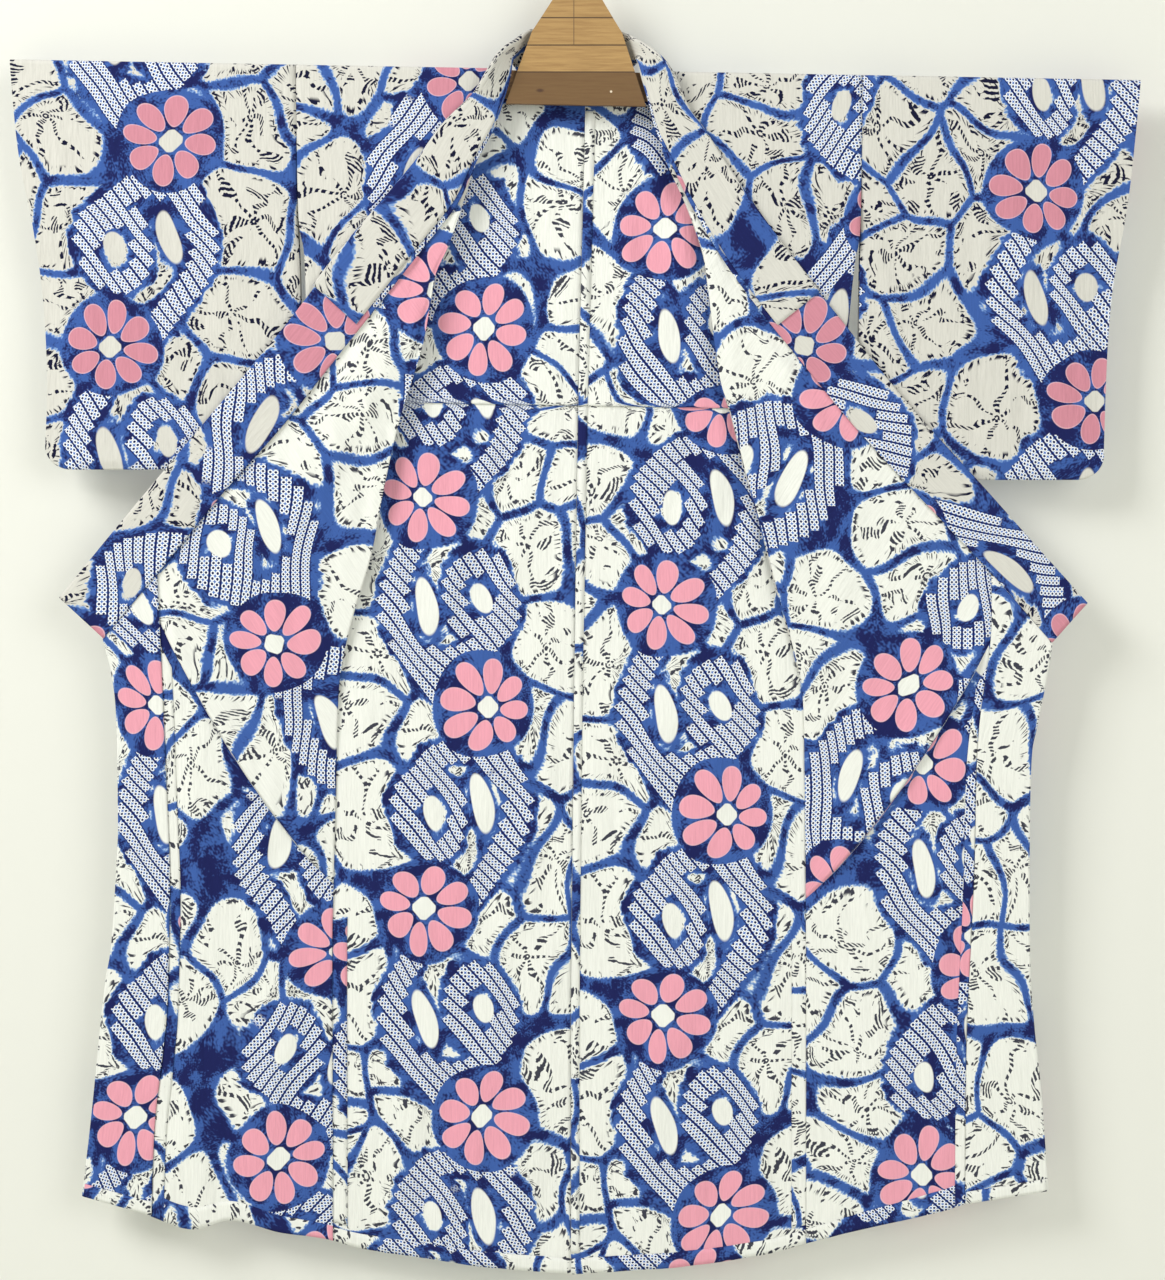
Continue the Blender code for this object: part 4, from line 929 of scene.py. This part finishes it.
def shibori_cotton(name, white, ink, pink):
    """Shibori-dyed cotton crepe, woven plain, tied and stitched, then dyed in indigo.

    White pebbles with blue borders fill the ground between flowers, vines and curls.
    Their distance field is the smooth least of the pebble's own border and the motifs'.
    """
    material, put = new_material(name)
    place = put("UVMap", uv_map="cloth")
    point = put("VectorMath MULTIPLY", place, (1 / MM, 1 / MM, 0))
    drift = noise(put, point, 1 / 75, 0, out=1)
    motif_point = put("VectorMath MULTIPLY_ADD", drift, (14, 14, 0), point)
    point = put("VectorMath MULTIPLY_ADD", drift, (34, 34, 0), point)
    fine = noise(put, point, 1 / 2.6, 0)
    blotch = noise(put, point, 1 / 26, 2, 0.6)

    # Motifs
    flower = nearest_repeat(put, motif_point, FLOWERS)
    petal, flower_radius = petals(put, flower)
    heart = rounded_diamond(put, flower, HEART_RADIUS, HEART_FLAT)
    ribbon, oval, drop = ribbons(put, motif_point)

    # Pebbles
    cells = {"Vector": point, "Scale": 1 / PEBBLE}
    border = put("TexVoronoi", cells, voronoi_dimensions="2D", feature="DISTANCE_TO_EDGE")
    border = put("MULTIPLY_ADD", border, PEBBLE, -PEBBLE_BORDER)
    near = put("TexVoronoi", cells, voronoi_dimensions="2D").node.outputs
    corner = put("MULTIPLY_ADD", near["Distance"], -PEBBLE, PEBBLE_REACH)
    rounded = put("SMOOTH_MIN", border, corner, 16)
    channel = put("MULTIPLY_ADD", blotch, -18, 2.5)
    motif = put("ADD", least(put, ribbon, drop), channel)
    flower_edge = put("ADD", flower_radius, -FLOWER_GROUND)
    inside = put("SMOOTH_MIN", rounded, least(put, motif, flower_edge), 12)
    ragged = put("MULTIPLY_ADD", fine, 3.4, put("ADD", inside, -1.7))

    # Darker blotches of the blue ground, which gather round flowers and at corners
    near_flower, in_corner = step(put, flower_radius, 92, 56), step(put, corner, 0, -14)
    in_channel = step(put, inside, -0.5, -5)
    crowd = blotch
    for share, weight in [(near_flower, 0.04), (in_corner, 0.12), (in_channel, 0.05), (fine, 0.34)]:
        crowd = put("MULTIPLY_ADD", share, weight, crowd)

    # Kanoko: slanting bars of two rows of tied dots, each dot white with a dark middle.
    # The ribbons' edge is taken at each bar's own middle line, so the bars end squarely
    lattice = put("VectorRotate", {0: motif_point, 3: KANOKO_TURN}, rotation_type="Z_AXIS")
    cross_bars, up_bar = [put("SeparateXYZ", lattice, out=i) for i in (0, 1)]
    from_middle = put("WRAP", cross_bars, KANOKO_BAR / 2, -KANOKO_BAR / 2)
    middle_line = put("SUBTRACT", cross_bars, from_middle)
    middle_line = put("CombineXYZ", middle_line, up_bar, 0)
    middle_line = put("VectorRotate", {0: middle_line, 3: -KANOKO_TURN}, rotation_type="Z_AXIS")
    bars = without(put, ribbons(put, middle_line)[0], flower_edge)
    dot_over = put("WRAP", from_middle, DOT, 0)
    dot_up = put("WRAP", up_bar, DOT, 0)
    dot = put("CombineXYZ", dot_over, dot_up, 0)
    dot = put("VectorMath DISTANCE", dot, (DOT / 2, DOT / 2, 0), out=1)
    bar_edge = put("ABSOLUTE", from_middle)
    tied = layered(put, "#F0F3F4", [
        (dot, 2.1, 2.8, "#4C74BA"),
        (dot, 1.5, 1.1, "#101A50"),
        (bar_edge, DOT - 0.2, DOT + 0.2, "#0D1450"),
    ])

    # Blue ground, pale at the pebbles' rims, then ribbons, white pebbles, plain ovals,
    # petals and their hearts
    petal_colour = layered(put, pink, [(petal, -1.2, -0.2, "#F0C4CC")])
    colour = layered(put, "#3A5CA2", [
        (crowd, 0.64, 0.88, "#131B54"),
        (ragged, -1.3, 0.3, "#7A9CD0"),
        (bars, 0.3, -0.3, tied),
        (ragged, 0.1, 1.3, white),
        (least(put, oval, drop), 0.8, -0.8, white),
        (petal, 0.3, -0.7, petal_colour),
        (heart, 0.6, -0.6, white),
    ])

    # Stitch marks in the pebbles: branches from each middle, beaded with short dark bars
    # that fan out half way, and ticks at the rim
    offset = put("VectorMath SUBTRACT", point, near["Position"])
    away = put("VectorMath LENGTH", offset, out=1)
    across, along = [put("SeparateXYZ", offset, out=i) for i in (0, 1)]
    angle = put("ARCTAN2", along, across)
    bend = noise(put, point, 1 / 21, 0)
    bent = put("MULTIPLY_ADD", bend, 1.1, angle)
    turn = put("SeparateColor", near["Color"])
    branch = put("MULTIPLY_ADD", bent, BRANCHES / (2 * math.pi), turn)
    branch = put("ABSOLUTE", put("WRAP", branch, 0.5, -0.5))
    branch = put("MULTIPLY", put("MULTIPLY", branch, away), 2 * math.pi / BRANCHES)
    gaps = noise(put, point, 1 / 17, 1)
    reach = put("MULTIPLY_ADD", gaps, 30, -9.6)
    reach = put("MINIMUM", reach, put("MULTIPLY_ADD", away, 0.1, 2.3))
    wander = put("MULTIPLY_ADD", bend, 14, away)
    wander = put("MULTIPLY_ADD", fine, 1.4, wander)
    bead = put("SINE", put("MULTIPLY", wander, 2 * math.pi / BEAD))
    marks = put("SUBTRACT", put("SUBTRACT", reach, branch), 0.9)
    marks = put("MULTIPLY", step(put, marks, -0.3, 0.3), step(put, bead, -0.35, 0))
    broken = put("MULTIPLY", fine, step(put, branch, 2, 6))
    marks = put("MULTIPLY", marks, step(put, broken, 0.62, 0.52))
    around, outwards = put("MULTIPLY", angle, 15), put("MULTIPLY", away, 0.09)
    ticks = put("CombineXYZ", around, outwards, 0)
    ticks = noise(put, ticks, 1, 0)
    rim_share = put("MULTIPLY", step(put, inside, 9, 5), step(put, ticks, 0.6, 0.64))
    marks = put("MAXIMUM", marks, rim_share)
    marks = put("MULTIPLY", marks, step(put, ragged, 1.3, 2.6))
    clear = step(put, least(put, petal, heart, oval, drop, bars), -0.5, 1)
    marks = put("MULTIPLY", put("MULTIPLY", marks, clear), ink)
    colour = paint(put, marks, colour, "#070B2E")

    # Crepe: faint upright threads, drawn 1.6 mm apart to show, and crinkles of 5 x 20 mm
    thread_scale = put("VectorMath MULTIPLY", place, (620, 30, 0))
    threads = noise(put, thread_scale, 1, 1)
    shade = put("MULTIPLY_ADD", threads, 0.16, 0.91)
    colour = put("VectorMath SCALE", colour, None, None, shade)
    crepe_scale = put("VectorMath MULTIPLY", place, (210, 48, 0))
    crepe = noise(put, crepe_scale, 1, 1, 0.55)
    normal = put("Bump", {"Strength": 0.6, "Distance": 0.0012, "Height": crepe})
    cotton = {"Base Color": colour, "Roughness": 0.88, "Specular IOR Level": 0.25, "Normal": normal}
    put("OutputMaterial", put("BsdfPrincipled", cotton))
    return material


def planed_wood(name, light, dark, planks=()):
    """Planed softwood, oiled: grain 2.5 mm apart and about 40 mm long runs along the bar,
    in planks glued edge to edge. planks gives the heights of the glue lines, and the
    wood below the last is darker."""
    material, put = new_material(name)
    place = put("TexCoord", out=3)
    grain_place = put("VectorMath MULTIPLY", place, (26, 400, 420))
    grain = put("TexNoise", grain_place, None, 1, 4, 0.6)
    broad_place = put("VectorMath MULTIPLY", place, (7, 30, 60))
    broad = put("TexNoise", broad_place, None, 1, 2)
    height = put("SeparateXYZ", place, out=2)
    colour = layered(put, light, [(grain, 0.3, 0.72, dark)])
    colour = paint(put, put("MULTIPLY", broad, 0.4), colour, dark)
    lines = 0
    levels = [(line - SHOULDER_DROP) * MM for line in planks]
    for level in levels:
        gap = put("ABSOLUTE", put("SUBTRACT", height, level))
        lines = put("MAXIMUM", step(put, gap, 0.001, 0.0006), lines)
    if planks:
        spot = put("VectorMath MULTIPLY", place, (1 / MM, 0, 1 / MM))
        across, up = [put("SeparateXYZ", spot, out=i) for i in (0, 2)]
        spot = put("CombineXYZ", across, up, 0)
        knot = ellipse(put, spot, (KNOT[0], KNOT[1] - SHOULDER_DROP), (3.4, 1.7))
        pin = ellipse(put, spot, (PIN[0], PIN[1] - SHOULDER_DROP), (1.3, 1.3))
        below = step(put, height, levels[-1], levels[-1] - 0.8 * MM)
        for share, strength, over in [(below, 0.8, "#5A3D1D"), (lines, 0.85, "#3A2412")]:
            colour = paint(put, put("MULTIPLY", share, strength), colour, over)
        colour = layered(put, colour, [(knot, 1.5, -1, "#4A2E18"), (pin, 0.3, -0.3, "#E4D6BC")])
        aside = put("ABSOLUTE", put("SeparateXYZ", place))
        pencil = step(put, height, levels[1], levels[1] + MM)
        pencil = put("MULTIPLY", step(put, aside, 0.0009, 0.0005), pencil)
        colour = paint(put, put("MULTIPLY", pencil, 0.55), colour, "#4F3B28")
    normal = put("Bump", {"Strength": 0.35, "Distance": 0.0006, "Height": grain})
    wood = {"Base Color": colour, "Roughness": 0.55, "Normal": normal}
    put("OutputMaterial", put("BsdfPrincipled", wood))
    return material


def drawn_wire(name):
    """Drawn steel wire, bright with fine lines, slightly dulled by handling."""
    material, put = new_material(name)
    place = put("TexCoord", out=3)
    wear = put("TexNoise", place, None, 700, 3)
    rough = put("MULTIPLY_ADD", wear, 0.25, 0.2)
    steel = {"Base Color": "#C3C3BF", "Metallic": 1, "Roughness": rough}
    put("OutputMaterial", put("BsdfPrincipled", steel))
    return material


# Out and up from the shoulder line: a knot and a pale pin head. Then the heights of the
# board's glue lines
KNOT = (-39, -26.5)
PIN = (43, -27.8)
GLUE_LINES = (57.6, 25.9, -5.2)
FINISHES = {
    "hanger_board": planed_wood("oiled_board_wood", "#B7935B", "#9E7A48", GLUE_LINES),
    "hanger_bar": planed_wood("oiled_bar_wood", "#7C5A34", "#553A1F"),
    "hanger_hook": drawn_wire("drawn_steel_wire"),
}
for node_name, finish in FINISHES.items():
    hanger_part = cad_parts[node_name]
    for slot in hanger_part.material_slots:
        slot.material = finish

inside_out = shibori_cotton("shibori_cotton_inside", "#E9EAE2", 0.95, "#E79FAE")
right_side = shibori_cotton("shibori_cotton_right_side", "#D2D0C7", 1, "#CC8896")

for word, side in SIDES.items():
    back_panel("back_" + word, side, inside_out)
    front_shoulder("front_shoulder_" + word, side, right_side)
    opened_front("front_" + word, side, inside_out)
    okumi("okumi_" + word, side, inside_out)
    sleeve("sleeve_" + word, side, right_side)
collar(right_side)
over_collar(right_side)

# Stage: backdrop, floor, soft light, and the camera at the photograph's height
VIEW_MIDDLE = (0.010, -0.831)
VIEW_HEIGHT = 1.485
VIEW_DISTANCE = 3


def stage_plane(name, centre, size, rotation, colour):
    """Plain pale plane, seen from its front only."""
    material, put = new_material(name)
    matt = put("BsdfDiffuse", colour)
    clear = put("BsdfTransparent")
    behind = put("NewGeometry", out="Backfacing")
    put("OutputMaterial", put("MixShader", behind, matt, clear))
    mesh = bpy.data.meshes.new(name)
    x, y = size[0] / 2, size[1] / 2
    mesh.from_pydata([(-x, -y, 0), (x, -y, 0), (x, y, 0), (-x, y, 0)], [], [(0, 1, 2, 3)])
    mesh.materials.append(material)
    plane = in_scene(name, mesh)
    plane.location = centre
    plane.rotation_euler = rotation
    return plane


def soft_light(name, location, size, power):
    """Large square lamp aimed at the robe's middle."""
    lamp = bpy.data.lights.new(name, "AREA")
    lamp.size = size
    lamp.energy = power
    obj = in_scene(name, lamp)
    obj.location = location
    away = np.array(location) - np.array([VIEW_MIDDLE[0], 0, VIEW_MIDDLE[1]])
    tilt = math.atan2(math.hypot(away[0], away[1]), away[2])
    obj.rotation_euler = (tilt, 0, math.atan2(away[1], away[0]) + math.pi / 2)


backdrop = stage_plane("backdrop", (0, 0.045, -0.6), (7, 4), (math.pi / 2, 0, 0), "#E5E5DC")
# Light for the robe's back passes the backdrop
backdrop.visible_diffuse = False
backdrop.visible_shadow = False
stage_plane("floor", (0, -2, -1.75), (9, 8), (0, 0, 0), "#E2E3D8")
soft_light("window_light", (-2.6, -2.2, 1.5), 1.6, 115)
soft_light("fill_light", (2.4, -3.2, 0.2), 2.6, 48)
soft_light("back_light", (1.8, 3, 0.6), 2.4, 70)
world = bpy.data.worlds.new("studio")
bpy.context.scene.world = world
world.use_nodes = True
daylight = world.node_tree.nodes["Background"].inputs
daylight["Color"].default_value = (0.95, 0.96, 0.93, 1)
daylight["Strength"].default_value = 0.5

camera_data = bpy.data.cameras.new("camera")
camera_data.sensor_fit = "VERTICAL"
camera_data.sensor_height = 24
camera_data.lens = camera_data.sensor_height * VIEW_DISTANCE / VIEW_HEIGHT
camera = in_scene("camera", camera_data)
camera.location = (VIEW_MIDDLE[0], -VIEW_DISTANCE, VIEW_MIDDLE[1])
camera.rotation_euler = (math.pi / 2, 0, 0)
bpy.context.scene.camera = camera
bpy.context.scene.view_settings.view_transform = "Standard"
